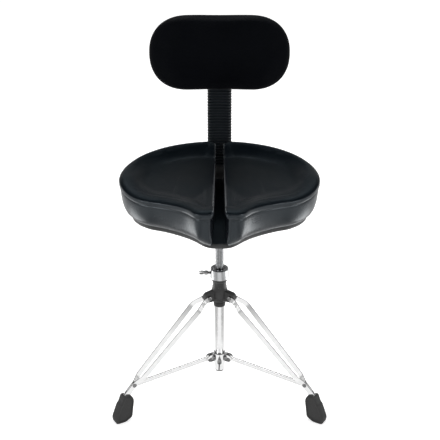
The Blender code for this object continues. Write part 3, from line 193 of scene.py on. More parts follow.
def weave(pitch):
    """A plain weave in the seat's plane: threads both ways, each a pitch apart."""

    def height(tree):
        values = [("Vector", position(tree)), ("Scale", 2 * pi / (WAVE_RATE * pitch))]
        waves = [add(tree, "TexWave", values, bands_direction=way).outputs["Fac"] for way in "XY"]
        return maths(tree, "MAXIMUM", *waves)

    return height


# Contrast of the patches, and wear of convex edges
PATCH_RANGE, WORN_RANGE, WORN_SHARE = (0.3, 0.7), (0.51, 0.6), 0.8
FINISHES = {}


def finish(name, tones, rough, blotch, *reliefs, metallic=0.0, specular=0.5, tint=(1, 1, 1), worn=None):
    """A material whose colour and roughness wander in patches, with reliefs and lighter worn edges.

    blotch is the scale of the patches, and a relief comes with its depth in metres."""
    made = FINISHES[name] = bpy.data.materials.new(name)
    made.use_nodes = True
    tree = made.node_tree
    shader = tree.nodes["Principled BSDF"]
    shader.inputs["Metallic"].default_value = metallic
    shader.inputs["Specular IOR Level"].default_value = specular
    shader.inputs["Specular Tint"].default_value = (*tint, 1)
    patches = span(tree, noise(tree, blotch, detail=5.0), *PATCH_RANGE, 0.0, 1.0)
    colour = blended(tree, patches, (*tones[0], 1), (*tones[1], 1))
    if worn:
        edge = add(tree, "NewGeometry").outputs["Pointiness"]
        share = span(tree, edge, *WORN_RANGE, 0.0, WORN_SHARE)
        colour = blended(tree, share, colour, (worn, worn, worn, 1))
    tree.links.new(colour, shader.inputs["Base Color"])
    tree.links.new(span(tree, patches, 0.0, 1.0, *rough), shader.inputs["Roughness"])
    normal = None
    for height, depth in reliefs:
        bump = add(tree, "Bump", [("Height", height(tree)), ("Distance", depth)])
        if normal:
            tree.links.new(normal, bump.inputs["Normal"])
        normal = bump.outputs["Normal"]
    tree.links.new(normal, shader.inputs["Normal"])
    return made


def greys(low, high, blue=1.0):
    return [(tone, tone * (1 + (blue - 1) / 2), tone * blue) for tone in (low, high)]


CHROME = finish(
    "chrome", greys(0.84, 0.92), (0.05, 0.11), 60,
    (scratches(900), 0.000012), (speckle(140), 0.00002), metallic=1.0,
)
SATIN_CHROME = finish(
    "satin_chrome", greys(0.5, 0.59, 1.03), (0.16, 0.24), 60,
    (scratches(900), 0.00002), (speckle(140), 0.00002), metallic=1.0,
)
THREADED_STEEL = finish(
    "threaded_steel", greys(0.34, 0.42, 1.04), (0.18, 0.28), 90,
    (speckle(700), 0.00003), metallic=1.0,
)
BRIGHT_STEEL = finish(
    "bright_steel", greys(0.17, 0.24), (0.14, 0.22), 120,
    (speckle(900), 0.00002), metallic=1.0, worn=0.55,
)
DARK_ZINC = finish(
    "dark_zinc", greys(0.1, 0.16), (0.22, 0.34), 180,
    (speckle(1500), 0.00002), metallic=1.0, worn=0.4,
)
finish(
    "black_casting", greys(0.016, 0.026), (0.36, 0.48), 70,
    (speckle(1400), 0.00006), (speckle(160), 0.00006), worn=0.07,
)
BLACK_STEEL = finish(
    "black_steel", greys(0.012, 0.018), (0.3, 0.42), 50,
    (speckle(700, 2.0), 0.00004), worn=0.06,
)
finish(
    "brass", ((0.6, 0.42, 0.17), (0.7, 0.52, 0.25)), (0.2, 0.34), 120,
    (scratches(1200, 0.05), 0.00002), metallic=1.0,
)
finish("black_plastic", greys(0.013, 0.019), (0.4, 0.52), 40, (pebbles(1300), 0.00003))
BOARD_PLASTIC = finish("board_plastic", greys(0.015, 0.023, 1.1), (0.46, 0.6), 35, (pebbles(900), 0.00006))
RUBBER = finish(
    "black_rubber", greys(0.014, 0.022), (0.5, 0.66), 90,
    (speckle(1100), 0.00008), (speckle(120), 0.0001), worn=0.09,
)
PANEL_RUBBER = finish(
    "panel_rubber", greys(0.024, 0.034), (0.55, 0.7), 90,
    (pebbles(1500), 0.00005), (speckle(120), 0.0001),
)
COVER_RUBBER = finish(
    "cover_rubber", ((0.004, 0.0055, 0.0075), (0.006, 0.008, 0.011)), (0.4, 0.52), 70,
    (speckle(1300), 0.00004), specular=0.28, tint=(0.8, 0.92, 1.0), worn=0.022,
)
VINYL = finish(
    "black_vinyl", ((0.007, 0.009, 0.012), (0.011, 0.013, 0.016)), (0.2, 0.28), 22,
    (pebbles(620), 0.00004), (speckle(45), 0.0002), tint=(0.82, 0.93, 1.0),
)
# A lighter grey for the hem's faces: a painted highlight along the foot of the black vinyl cover
HEM_PAINTED_HIGHLIGHT = finish(
    "hem_painted_highlight", ((0.2, 0.212, 0.22), (0.27, 0.282, 0.29)), (0.22, 0.32), 30,
    (pebbles(900), 0.00003), (speckle(60), 0.0001),
)
TOP_FABRIC = finish(
    "top_fabric", ((0.0022, 0.0036, 0.0052), (0.0036, 0.0054, 0.0074)), (0.38, 0.46), 18,
    (weave(0.0013), 0.00008), (speckle(60), 0.0002), specular=0.072, tint=(0.5, 0.8, 1.0),
)
BACK_FABRIC = finish(
    "back_fabric", ((0.0014, 0.0016, 0.0024), (0.0026, 0.0029, 0.004)), (0.55, 0.7), 14,
    (pebbles(700), 0.00006), (speckle(40), 0.0002), specular=0.035, tint=(0.8, 0.9, 1.0),
)
THREAD = finish("stitching", greys(0.012, 0.022), (0.55, 0.7), 300, (speckle(2500), 0.00005))

# Solids take the finish named as their slot is, except these
NODE_FINISH = {
    "lock_collar": SATIN_CHROME,
    "lock_wing_bolt": BRIGHT_STEEL,
    "spider_wing_bolt": DARK_ZINC,
    "casting_screw": BLACK_STEEL,
}
NODE_FINISH |= {f"leg_{side}_pivot": DARK_ZINC for side in LEG_AZIMUTHS}


# Shapes


def smooth(value):
    """Eases from 0 to 1 as the value does."""
    value = max(0.0, min(1.0, value))
    return value * value * (3 - 2 * value)


def along(keys, value):
    """The value of a table of (place, value) at a place, with straight lines between."""
    return float(np.interp(value, *zip(*keys)))


def bezier(points, steps):
    corners = [Vector((x, y, 0)) for x, y in points]
    return [p.to_2d() for p in interpolate_bezier(*corners, steps + 1)]


def arc(centre, radius, start, end, steps):
    angles = [start + (end - start) * i / steps for i in range(steps + 1)]
    return [Vector((centre[0] + radius * cos(a), centre[1] + radius * sin(a))) for a in angles]


def turns(count):
    return [2 * pi * k / count for k in range(count)]


def distances(line):
    """The way along a line to each of its points."""
    found = [0.0]
    for a, b in zip(line, line[1:]):
        found.append(found[-1] + (b - a).length)
    return found


def placed(ways, reach, values):
    """Vectors at ways along a line, from those at its points, whose ways are reach."""
    columns = [np.interp(ways, reach, [v[axis] for v in values]) for axis in range(len(values[0]))]
    return [Vector(column) for column in zip(*columns)]


def resample(points, count):
    """A closed line through points, cut into count equal steps."""
    closed = points + points[:1]
    reach = distances(closed)
    return placed([reach[-1] * i / count for i in range(count)], reach, closed)


def outward(outline):
    """The unit normals of an anticlockwise outline."""
    pairs = zip(outline[-1:] + outline, outline[1:] + outline[:1])
    steps = [after - before for before, after in pairs]
    return [Vector((step.y, -step.x)).normalized() for step in steps]


def rounded(points, radius, steps, closed):
    """The line through points with its corners rounded, by less than half of a line."""
    points = [Vector(p) for p in points]
    made = [] if closed else points[:1]
    ends = 0 if closed else 1
    for i in range(ends, len(points) - ends):
        before, corner, after = points[i - 1], points[i], points[(i + 1) % len(points)]
        back, ahead = before - corner, after - corner
        start = corner + back.normalized() * min(radius, back.length * 0.45)
        end = corner + ahead.normalized() * min(radius, ahead.length * 0.45)
        for step in range(steps + 1):
            t = step / steps
            made.append(start.lerp(corner, t).lerp(corner.lerp(end, t), t))
    return made if closed else made + points[-1:]


def square(dx, dy):
    return [(x * dx / 2, y * dy / 2) for x, y in ((1, 1), (-1, 1), (-1, -1), (1, -1))]


def rounded_rectangle(width, depth, radius, steps):
    points = []
    for k, centre in enumerate(square(width - 2 * radius, depth - 2 * radius)):
        points += arc(centre, radius, k * pi / 2, (k + 1) * pi / 2, steps)
    return points


def new_object(name, data):
    made = bpy.data.objects.new(name, data)
    SCENE.collection.objects.link(made)
    return made


def piece(name, mesh, body, *materials, sharp=None):
    """A mesh object that rides a body, shaded smooth up to an angle in degrees."""
    for material in materials:
        mesh.materials.append(material)
    mesh.shade_smooth()
    if sharp:
        mesh.set_sharp_from_angle(angle=radians(sharp))
    made = new_object(name, mesh)
    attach(made, body)
    return made


def to_mesh(bm, name):
    """A new mesh; the bmesh is freed."""
    mesh = bpy.data.meshes.new(name)
    bm.to_mesh(mesh)
    bm.free()
    return mesh


def face_out(mesh, merge=None):
    """The mesh with its faces turned outward, after merging points closer than merge."""
    bm = bmesh.new()
    bm.from_mesh(mesh)
    if merge:
        bmesh.ops.remove_doubles(bm, verts=bm.verts, dist=merge)
    bmesh.ops.recalc_face_normals(bm, faces=bm.faces)
    bm.to_mesh(mesh)
    bm.free()
    return mesh


def tube(bm, rows):
    """Faces from each closed row of points to the next."""
    for low, high in zip(rows, rows[1:]):
        for i in range(len(low)):
            j = (i + 1) % len(low)
            bm.faces.new((low[i], low[j], high[j], high[i]))


def ladder(bm, ring, start):
    """Closes an even ring with one strip of faces across it, from the point at start."""
    count = len(ring)
    for step in range(count // 2):
        places = (start + step, start + step + 1, start - step - 1, start - step)
        corners = list(dict.fromkeys(ring[place % count] for place in places))
        if len(corners) > 2:
            bm.faces.new(corners)


def skin(name, rings, capped=True, start=0):
    """A mesh over closed rings of equal count, its ends closed by ladders from the point at start."""
    bm = bmesh.new()
    rows = [[bm.verts.new(p) for p in ring] for ring in rings]
    tube(bm, rows)
    if capped:
        ladder(bm, rows[-1], start)
        ladder(bm, rows[0][::-1], len(rings[0]) - 1 - start)
    return to_mesh(bm, name)


def baked(obj):
    """The object's mesh with its modifiers applied; the object is removed."""
    graph = bpy.context.evaluated_depsgraph_get()
    mesh = bpy.data.meshes.new_from_object(obj.evaluated_get(graph))
    bpy.data.objects.remove(obj)
    return mesh


def search_tree(points):
    tree = kdtree.KDTree(len(points))
    for i, p in enumerate(points):
        tree.insert(p, i)
    tree.balance()
    return tree


CLOTH_FRAMES = 20
# Points of the cloth that carry a point of the cushion along
NEIGHBOURS, NEIGHBOUR_EASE = 28, 0.006


def swell(mesh, held, cap, pressure=4.0, voxel=0.005):
    """Swells a closed cushion by cloth simulation and moves its own points by what the cloth moved.

    held(point) says where the cloth is fixed, and cap(point) how far a point of the mesh may move."""
    stuffed = new_object("stuffed", mesh.copy())
    remesh = stuffed.modifiers.new("Remesh", "REMESH")
    remesh.mode = "VOXEL"
    remesh.voxel_size = voxel
    cloth_mesh = baked(stuffed)
    rest = [v.co.copy() for v in cloth_mesh.vertices]
    sim = new_object("sim", cloth_mesh)
    pins = sim.vertex_groups.new(name="pins")
    pins.add([i for i, p in enumerate(rest) if held(p)], 1.0, "REPLACE")
    cloth = sim.modifiers.new("Cloth", "CLOTH")
    settings = cloth.settings
    settings.quality = 5
    settings.mass = 0.3
    settings.tension_stiffness = 25
    settings.compression_stiffness = 25
    settings.shear_stiffness = 8
    settings.bending_stiffness = 2.0
    settings.vertex_group_mass = "pins"
    settings.use_pressure = True
    settings.uniform_pressure_force = pressure
    settings.effector_weights.gravity = 0
    cloth.collision_settings.use_collision = False
    cloth.point_cache.frame_start, cloth.point_cache.frame_end = 1, CLOTH_FRAMES
    for number in range(1, CLOTH_FRAMES + 1):
        SCENE.frame_set(number)
    graph = bpy.context.evaluated_depsgraph_get()
    moved = [v.co.copy() for v in sim.evaluated_get(graph).data.vertices]
    bpy.data.objects.remove(sim)
    SCENE.frame_set(1)
    tree = search_tree(rest)
    for vert in mesh.vertices:
        total, shift = 0.0, Vector()
        for _, index, distance in tree.find_n(vert.co, NEIGHBOURS):
            weight = 1 / (distance + NEIGHBOUR_EASE) ** 2
            total += weight
            shift += (moved[index] - rest[index]) * weight
        shift /= total
        most = cap(vert.co)
        if shift.length > most:
            shift *= most / shift.length
        vert.co += shift
    mesh.update()


# Seat cushions

REAR_STEPS = 60


def lobe_outline():
    """Plan of the right-hand cushion: nose, thigh cut, side, rear arc and channel wall."""
    corner = (CHANNEL_MOUTH + CHANNEL_CORNER, NOSE_Y + CHANNEL_CORNER)
    points = arc(corner, CHANNEL_CORNER, pi, 1.5 * pi, steps=10)
    hip, thigh, side = Vector(HIP), Vector(THIGH), (HALF_WIDTH, CENTRE_Y)
    at_nose = (FRONT_X + NOSE_REACH, NOSE_Y + NOSE_LIFT)
    at_hip = HIP_WAY * HIP_REACH
    at_thigh = THIGH_WAY * THIGH_REACH
    at_side = (HALF_WIDTH, CENTRE_Y - SIDE_REACH)
    points += bezier([(FRONT_X, NOSE_Y), at_nose, hip - at_hip * HIP_SHARE, hip], steps=20)
    points += bezier([hip, hip + at_hip, thigh - at_thigh, thigh], steps=20)[1:]
    points += bezier([thigh, thigh + at_thigh, at_side, side], steps=20)[1:]
    depth = REAR_Y - CENTRE_Y
    last = acos((CHANNEL_HALF + REAR_CORNER) / HALF_WIDTH)
    for i in range(1, REAR_STEPS + 1):
        turn = last * i / REAR_STEPS
        points.append(Vector((HALF_WIDTH * cos(turn), CENTRE_Y + depth * sin(turn))))
    corner = (CHANNEL_HALF + REAR_CORNER, points[-1].y - REAR_CORNER)
    points += arc(corner, REAR_CORNER, pi / 2, pi, steps=12)[1:]
    return resample(points, LOBE_COUNT)


def rim_height(point):
    """Height of the outer top edge: full at sides and rear, lower at thigh and nose."""
    forward = smooth((CENTRE_Y - point.y) / -THIGH[1])
    thigh = forward * smooth((point.x - SHOULDER_X) / (THIGH[0] - SHOULDER_X))
    rear = smooth((point.y - CENTRE_Y) / (REAR_Y - CENTRE_Y))
    return SEAT_Z - RIM_RISE + REAR_RISE * rear - THIGH_DROP * thigh - NOSE_DROP * (forward - thigh)


# Rise of the rim and fall into the dish, by the distance in from the outer edge
RIM_KEYS = ((0, 0), (0.002, 0.2), (0.005, 0.55), (0.009, 0.88), (0.014, 1), (0.2, 1))
SIDE_DISH = (
    (0, 0), (0.022, 0), (0.036, 0.16), (0.044, 0.42), (0.052, 0.76), (0.059, 0.96), (0.066, 1),
)
REAR_DISH = (
    (0, 0), (0.009, 0), (0.016, 0.14), (0.024, 0.42), (0.034, 0.76), (0.042, 0.95), (0.05, 1),
)
# The outline is rim outside the channel's mouth and near the rear
RIM_START, RIM_REAR = 0.004, 0.012
# Where the side's dish turns into the rear's, and how widely the rim is averaged
REAR_SHARE, RIM_BLEND = 0.75, 0.01
# The pommel's facet climbs from this line towards the nose and the channel
FACET_START = Vector((0.017, -0.007))
FACET_CLIMB = Vector((-0.87, -0.5))
FACET_SLOPE, FACET_BEND = 0.15, 2.2
FACET_EASE, FACET_EDGE = 0.002, 0.012


def make_top(outline):
    """Returns height(point) of the seat's top, one dish across both cushions."""
    edges = []
    for a, b in zip(outline, outline[1:] + outline[:1]):
        if all(p.x > CHANNEL_MOUTH + RIM_START or p.y > REAR_Y - RIM_REAR for p in (a, b)):
            edges += [(a, b), (Vector((-a.x, a.y)), Vector((-b.x, b.y)))]
    starts = np.array([a for a, _ in edges])
    steps = np.array([b - a for a, b in edges])
    squares = (steps**2).sum(axis=1)
    heights = np.array([rim_height(Vector((abs(a.x), a.y))) for a, _ in edges])
    rears = np.array([smooth((a.y - CENTRE_Y) / (REAR_SHARE * REAR_Y)) for a, _ in edges])
    pan = SEAT_Z - DISH

    def height(point):
        offsets = np.array(point) - starts
        shares = np.clip((offsets * steps).sum(axis=1) / squares, 0, 1)
        gaps = np.hypot(*(offsets - steps * shares[:, None]).T)
        near = float(gaps.min())
        weights = np.exp(-(gaps - near) / RIM_BLEND)
        weights /= weights.sum()
        rear = float((rears * weights).sum())
        rim = float((heights * weights).sum()) + RIM_RISE * along(RIM_KEYS, near)
        dish = along(SIDE_DISH, near) * (1 - rear) + along(REAR_DISH, near) * rear
        z = rim + (pan - rim) * dish
        climb = (Vector((abs(point[0]), point[1])) - FACET_START).dot(FACET_CLIMB)
        lift = pan + FACET_SLOPE * climb * (1 - FACET_BEND * max(0.0, climb)) - z
        if lift > -FACET_EASE:
            share = smooth((lift + FACET_EASE) / (2 * FACET_EASE))
            z += max(0.0, lift) * share * smooth(near / FACET_EDGE)
        return z

    return height


# Up the wall: share of the tuck, share of the wall's height, extra inset in metres
WALL = (
    (0.97, 0, 0.0024), (0.97, 0.002, 0.001), (0.96, 0.008, 0.0002), (0.95, 0.02, 0), (0.93, 0.034, 0),
    (0.92, 0.044, 0.0007), (0.89, 0.048, 0.0007), (0.86, 0.056, 0.0001), (0.82, 0.066, 0),
    (0.72, 0.09, 0), (0.6, 0.13, 0), (0.47, 0.2, 0), (0.36, 0.29, 0), (0.27, 0.39, 0), (0.2, 0.5, 0),
    (0.155, 0.61, 0), (0.125, 0.71, 0), (0.11, 0.785, 0), (0.11, 0.822, 0.0003), (0.11, 0.836, 0.0014),
    (0.07, 0.848, 0.0012), (0.02, 0.86, 0.0003), (0, 0.885, 0), (0, 0.925, 0), (0, 0.962, 0),
    (0, 0.984, 0.0002), (0, 0.994, 0.0007), (0, 1, 0.0016),
)
# Over the top: metres in from the edge, then shares of the way to the spine
TOP_STEPS = (0.005, 0.007, 0.01, 0.013, 0.017)
TOP_SHARES = (0.05, 0.1, 0.15, 0.2, 0.25, 0.3, 0.35, 0.4, 0.46, 0.53, 0.61, 0.7, 0.8, 0.91)
LOBE_COUNT = 300
# The spine, towards which the top's rings draw in
SPINE_FRONT = Vector((HALF_WIDTH * 0.42, -0.056))
SPINE_REAR = Vector((HALF_WIDTH * 0.44, REAR_Y * 0.5))
# The hem: rows of faces, which take the painted highlight's lighter grey, the level it ends under, its
# start beside the channel
HEM_ROWS, HEM_LEVEL, HEM_START = 5, 0.06, 0.02
# The rings of the seam's groove and of the stitches
SEAM_RING, STITCH_RING = 19, 17
# Beside the channel the wall rolls in more above this level
ROLL_LEVEL, ROLL = 0.95, 1.6
# The nose's inner corner, cut back under the lip: direction, depth and reach
CUT_WAY, CUT_DEPTH, CUT_REACH = Vector((0.95, 0.3)), 0.006, 0.036
# Levels of the cut: end and fade at the lip, share at the foot, and where it is full
CUT_LIP, CUT_FADE, CUT_FOOT, CUT_FULL = 0.9, 0.1, 0.4, 0.3


def beside_channel(point):
    """1 at the channel's wall and 0 a little way outside it."""
    return 1 - smooth((point.x - CHANNEL_HALF) / CHANNEL_FADE)


def tuck_at(point, normal):
    """How the wall draws in at its foot: least at the channel, the nose's tip and the rear."""
    tip = smooth(-normal.y) * (1 - smooth((point.x - CHANNEL_HALF) / (SHOULDER_X - CHANNEL_HALF)))
    outer = SIDE_TUCK + (NOSE_TUCK - SIDE_TUCK) * tip + (REAR_TUCK - SIDE_TUCK) * smooth(normal.y)
    across = outer + (CHANNEL_TUCK - outer) * beside_channel(point)
    return Vector((-normal.x * across, -normal.y * outer))


def corner_cut(point):
    """How far the wall under the lip is rounded back at the nose's inner corner."""
    gap = (point - Vector((CHANNEL_MOUTH, NOSE_Y))).length
    return CUT_DEPTH * (1 - smooth(gap / CUT_REACH))


def lobe_rings():
    """Rings of the right-hand cushion about the tripod's axis, up its wall and in over its top."""
    outline = lobe_outline()
    normals = outward(outline)
    height = make_top(outline)
    tops = [height(p) for p in outline]
    rings = []
    for share, level, extra in WALL:
        ring = []
        under = smooth((CUT_LIP - level) / CUT_FADE)
        under *= CUT_FOOT + (1 - CUT_FOOT) * smooth(level / CUT_FULL)
        for p, n, top in zip(outline, normals, tops):
            roll = 1
            if level > ROLL_LEVEL:
                roll += ROLL * beside_channel(p)
            elif level < HEM_LEVEL:
                roll -= beside_channel(p)
            spot = p + tuck_at(p, n) * share - n * extra * roll + CUT_WAY * corner_cut(p) * under
            ring.append(Vector((spot.x, spot.y, FOOT_Z + (top - FOOT_Z) * level)))
        rings.append(ring)
    spine = SPINE_REAR - SPINE_FRONT
    targets = []
    for p in outline:
        share = max(0.0, min(1.0, (p - SPINE_FRONT).dot(spine) / spine.length_squared))
        targets.append(SPINE_FRONT + spine * share)
    plans = [[p + (t - p).normalized() * step for p, t in zip(outline, targets)] for step in TOP_STEPS]
    plans += [[p.lerp(t, share) for p, t in zip(plans[-1], targets)] for share in TOP_SHARES]
    return rings + [[Vector((p.x, p.y, height(p))) for p in plan] for plan in plans]


def mirrored(mesh, name):
    """A copy of the mesh on the other side of the throne's middle plane."""
    made = mesh.copy()
    made.name = name
    made.transform(Matrix.Scale(-1, 4, (1, 0, 0)))
    made.flip_normals()
    return made


STITCH_LENGTH, STITCH_GAP, STITCH_DEPTH = 0.0034, 0.0022, 0.0007
# Along a stitch: shares of its length and depth, and lift in depths
STITCH_SHAPE = ((0, 0.35, -0.3), (0.15, 0.9, 0.35), (0.5, 1, 0.6), (0.85, 0.9, 0.35), (1, 0.35, -0.3))


def stitch_row(name, path, normals):
    """A row of short raised stitches along a closed path, each a pointed bar lying on the cover."""
    bm = bmesh.new()
    closed = path + path[:1]
    reach = distances(closed)
    count = int(reach[-1] / (STITCH_LENGTH + STITCH_GAP))
    ways = [reach[-1] * i / (2 * count) for i in range(2 * count)]
    spots = placed(ways, reach, closed)
    around = placed(ways[::2], reach, normals + normals[:1])
    for start, middle, out in zip(spots[::2], spots[1::2], around):
        direction = (middle - start).normalized()
        out.normalize()
        across = direction.cross(out).normalized()
        rows = []
        for share, size, lift in STITCH_SHAPE:
            centre = start + direction * STITCH_LENGTH * share + out * STITCH_DEPTH * lift
            row = []
            for turn in turns(count=6):
                aside = across * cos(turn) + out * sin(turn)
                row.append(bm.verts.new(centre + aside * STITCH_DEPTH * size / 2))
            rows.append(row)
        tube(bm, rows)
        bm.faces.new(rows[0][::-1])
        bm.faces.new(rows[-1])
    return face_out(to_mesh(bm, name))


# Where the cloth is fixed: near seam and top edge, in plan and in height, and at the foot
HELD_GAP, HELD_HEIGHT, HELD_FOOT = 0.01, 0.006, 0.007
# How far walls swell, how that fades at seam, edge and foot, and its share at the channel
WALL_SWELL, SEAM_FADE, EDGE_FADE = 0.0035, 0.012, 0.008
FOOT_START, FOOT_FADE, CHANNEL_SHARE = 0.002, 0.02, 0.2
# How far the top swells, and from where
TOP_SWELL, TOP_START, TOP_FADE = 0.0012, 0.02, 0.05


def seat_limits(rings):
    """held(point) and cap(point) for the seat's cloth."""
    seams, edges = rings[SEAM_RING], rings[len(WALL) - 1]
    tree = search_tree([Vector((p.x, p.y, 0)) for p in seams])

    def offsets(point):
        _, index, gap = tree.find(Vector((point.x, point.y, 0)))
        return gap, abs(point.z - seams[index].z), abs(point.z - edges[index].z)

    def held(point):
        gap, from_seam, from_edge = offsets(point)
        sewn = gap < HELD_GAP and min(from_seam, from_edge) < HELD_HEIGHT
        return sewn or point.z < FOOT_Z + HELD_FOOT

    def cap(point):
        gap, from_seam, from_edge = offsets(point)
        if gap >= TOP_START:
            return TOP_SWELL * smooth((gap - TOP_START) / TOP_FADE)
        foot = smooth((point.z - FOOT_Z - FOOT_START) / FOOT_FADE)
        most = WALL_SWELL * smooth(from_edge / EDGE_FADE) * smooth(from_seam / SEAM_FADE) * foot
        clear = smooth((abs(point.x) - CHANNEL_HALF) / CHANNEL_FADE)
        return most * (CHANNEL_SHARE + (1 - CHANNEL_SHARE) * clear)

    return held, cap


def make_seat():
    shift = Vector((0, AXIS_Y, 0))
    rings = [[p + shift for p in ring] for ring in lobe_rings()]
    nose_end = min(range(LOBE_COUNT), key=lambda i: rings[-1][i].y)
    right = skin("seat_upholstery_right", rings, start=nose_end)
    top_start = (len(WALL) - 1) * LOBE_COUNT
    top_end = (len(rings) - 1) * LOBE_COUNT + LOBE_COUNT // 2 - 1
    # The top takes the fabric; the hem's faces outside the channel take the lighter grey of the painted
    # highlight
    for index, polygon in enumerate(right.polygons):
        if top_start <= index < top_end:
            polygon.material_index = 1
        elif index < HEM_ROWS * LOBE_COUNT and polygon.center.x > HEM_START:
            polygon.material_index = 2
    swell(right, *seat_limits(rings))
    left = mirrored(right, "seat_upholstery_left")
    normals = [n.to_3d() for n in outward([p.to_2d() for p in rings[STITCH_RING]])]
    stitches = stitch_row("seat_stitches_right", rings[STITCH_RING], normals)
    sewn_left = mirrored(stitches, "seat_stitches_left")
    for side, mesh, sewn in (("right", right, stitches), ("left", left, sewn_left)):
        cover = piece(f"seat_upholstery_{side}", mesh, "seat", VINYL, TOP_FABRIC, HEM_PAINTED_HIGHLIGHT)
        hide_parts(f"seat_cushion_{side}")
        row = piece(f"seat_stitches_{side}", sewn, "seat", THREAD)


BOARD_COUNT = 240
# Easing of the board's nose: rounds, share, start and fade
EASE_ROUNDS, EASE_SHARE, EASE_START, EASE_FADE = 16, 0.5, -0.07, 0.06


def board_outline(inset):
    """Plan of the board about the tripod's axis: the foot of both cushions, soft at the nose."""
    outline = lobe_outline()
    foot = [p + tuck_at(p, n) for p, n in zip(outline, outward(outline))]
    half = [p for p in foot if p.x > CHANNEL_HALF + REAR_CORNER]
    half.sort(key=lambda p: atan2(p.y - CENTRE_Y, p.x))
    whole = resample(half + [Vector((-p.x, p.y)) for p in reversed(half)], BOARD_COUNT)
    for _ in range(EASE_ROUNDS):
        eased = []
        for i, p in enumerate(whole):
            middle = (whole[i - 1] + whole[(i + 1) % BOARD_COUNT]) / 2
            eased.append(p.lerp(middle, EASE_SHARE * smooth((EASE_START - p.y) / EASE_FADE)))
        whole = eased
    return [p - n * inset for p, n in zip(whole, outward(whole))]


# Inset from the cushions' foot and share of the board's height, from its underside up
BOARD_WALL = (
    (0.013, 0), (0.0118, 0.02), (0.0095, 0.1), (0.0062, 0.24), (0.0042, 0.38), (0.003, 0.6),
    (0.0022, 0.85), (0.0026, 0.95), (0.004, 1),
)


def make_board():
    rings = []
    for inset, share in BOARD_WALL:
        z = BOARD_BOTTOM + (BOARD_TOP - BOARD_BOTTOM) * share
        rings.append([Vector((p.x, AXIS_Y + p.y, z)) for p in board_outline(inset)])
    front = min(range(BOARD_COUNT), key=lambda i: rings[0][i].y)
    mesh = skin("seat_base", rings, start=front)
    board = piece("seat_base", mesh, "seat", BOARD_PLASTIC, TOP_FABRIC)
    for polygon in mesh.polygons:
        covered = polygon.normal.z > 0.9
        polygon.material_index = 1 if covered else 0
    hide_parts("seat_board")


# Legs and boots


def in_leg(azimuth, spot, across):
    """A place of a leg, (outward, up) from its pivot and across its plane, in the throne's frame."""
    radius = PIVOT_R + spot[0]
    x = radius * cos(azimuth) - across * sin(azimuth)
    y = radius * sin(azimuth) + across * cos(azimuth)
    return Vector((x, AXIS_Y + y, PIVOT_Z + spot[1]))


STRAP_STEPS, STRAP_PROBE = 90, 0.002
STRAP_EASE = (-0.005, -0.0025, 0.0, 0.0025, 0.005)
STRAP_EDGE = STRAP_T * 0.15


def strap_stations():
    """Places along a strap's middle line: spot, way along, direction across, half width."""
    line = rounded(STRAP_PATH, STRAP_BEND, steps=6, closed=False)
    reach = distances(line)
    half = STRAP_WIDTH / 2
    ends = [half * (1 - cos(turn)) for turn in turns(count=32)[1:9]]
    inside = list(np.linspace(half, reach[-1] - half, STRAP_STEPS)[1:-1])
    ways = ends + inside + [reach[-1] - e for e in reversed(ends)]
    spots = placed(ways, reach, line)
    ahead = placed([way + STRAP_PROBE for way in ways], reach, line)
    behind = placed([way - STRAP_PROBE for way in ways], reach, line)
    found = []
    for way, spot, front, back in zip(ways, spots, ahead, behind):
        direction = (front - back).normalized()
        tip = min(way, reach[-1] - way, half)
        width = sqrt(half**2 - (half - tip) ** 2)
        found.append((spot, way, Vector((-direction.y, direction.x)), width))
    return found


def spread(way):
    """How far a strap's inner face stands from the leg's plane, eased through its bends."""
    near = [along(STRAP_SPREAD, way + step) for step in STRAP_EASE]
    return sum(near) / len(near)


def make_straps():
    """Two straps to a leg, from a section 1 m to each side that is brought in to the strap's width."""
    section = rounded_rectangle(2.0, STRAP_T, STRAP_EDGE, steps=1)
    for side, azimuth in LEG_AZIMUTHS.items():
        bm = bmesh.new()
        for face in (-1, 1):
            rings = []
            for spot, way, direction, width in strap_stations():
                middle = spread(way) + STRAP_T / 2
                ring = []
                for u, v in section:
                    beyond = u - copysign(1.0 - STRAP_EDGE, u)
                    place = spot + direction * (copysign(width - STRAP_EDGE, u) + beyond)
                    ring.append(in_leg(azimuth, place, face * middle + v))
                rings.append(ring)
            part = skin("strap", rings)
            bm.from_mesh(part)
            bpy.data.meshes.remove(part)
        mesh = face_out(to_mesh(bm, f"straps_{side}"))
        straps = piece(f"straps_{side}", mesh, f"leg_{side}", CHROME, sharp=30)
        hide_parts(f"leg_{side}_strap_1", f"leg_{side}_strap_2")


# Across a boot from its middle: share of the half width, inset, shrink of the sunk side panel
BOOT_WALL = (
    (0, 0, 0), (0.3, 0, 0), (0.62, 0, 0), (0.76, 0.0002, 0), (0.86, 0.0007, 0), (0.94, 0.0014, 0),
    (0.985, 0.0022, 0), (1, 0.003, 0), (1, 0.003, 0.06), (0.985, 0.003, 0.085), (0.89, 0.003, 0.1),
    (0.87, 0.003, 0.125), (0.875, 0.003, 0.22),
)
PANEL_ROWS = 2
BOOT_COUNT = 120


def make_boots():
    outline = resample(rounded(BOOT_OUTLINE, BOOT_CORNER, steps=5, closed=True), BOOT_COUNT)
    normals = outward(outline)
    top = max(range(BOOT_COUNT), key=lambda i: outline[i].y)
    middle = sum(outline, Vector((0, 0))) / BOOT_COUNT
    rows = [(-share, *rest) for share, *rest in reversed(BOOT_WALL)] + list(BOOT_WALL[1:])
    strips = len(rows) - 1
    for side, azimuth in LEG_AZIMUTHS.items():
        rings = []
        for share, inset, shrink in rows:
            across = share * BOOT_WIDTH / 2
            spots = [(p - n * inset).lerp(middle, shrink) for p, n in zip(outline, normals)]
            rings.append([in_leg(azimuth, spot, across) for spot in spots])
        mesh = face_out(skin(f"boot_{side}", rings, start=top))
        for index, polygon in enumerate(mesh.polygons):
            row = index // BOOT_COUNT
            polygon.material_index = 1 if row < PANEL_ROWS or row >= strips - PANEL_ROWS else 0
        boot = piece(f"boot_{side}", mesh, f"leg_{side}", RUBBER, PANEL_RUBBER, sharp=50)
        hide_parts(f"leg_{side}_boot")


# Backrest pad

PAD_COUNT, PAD_SIDE_STEPS = 220, 24


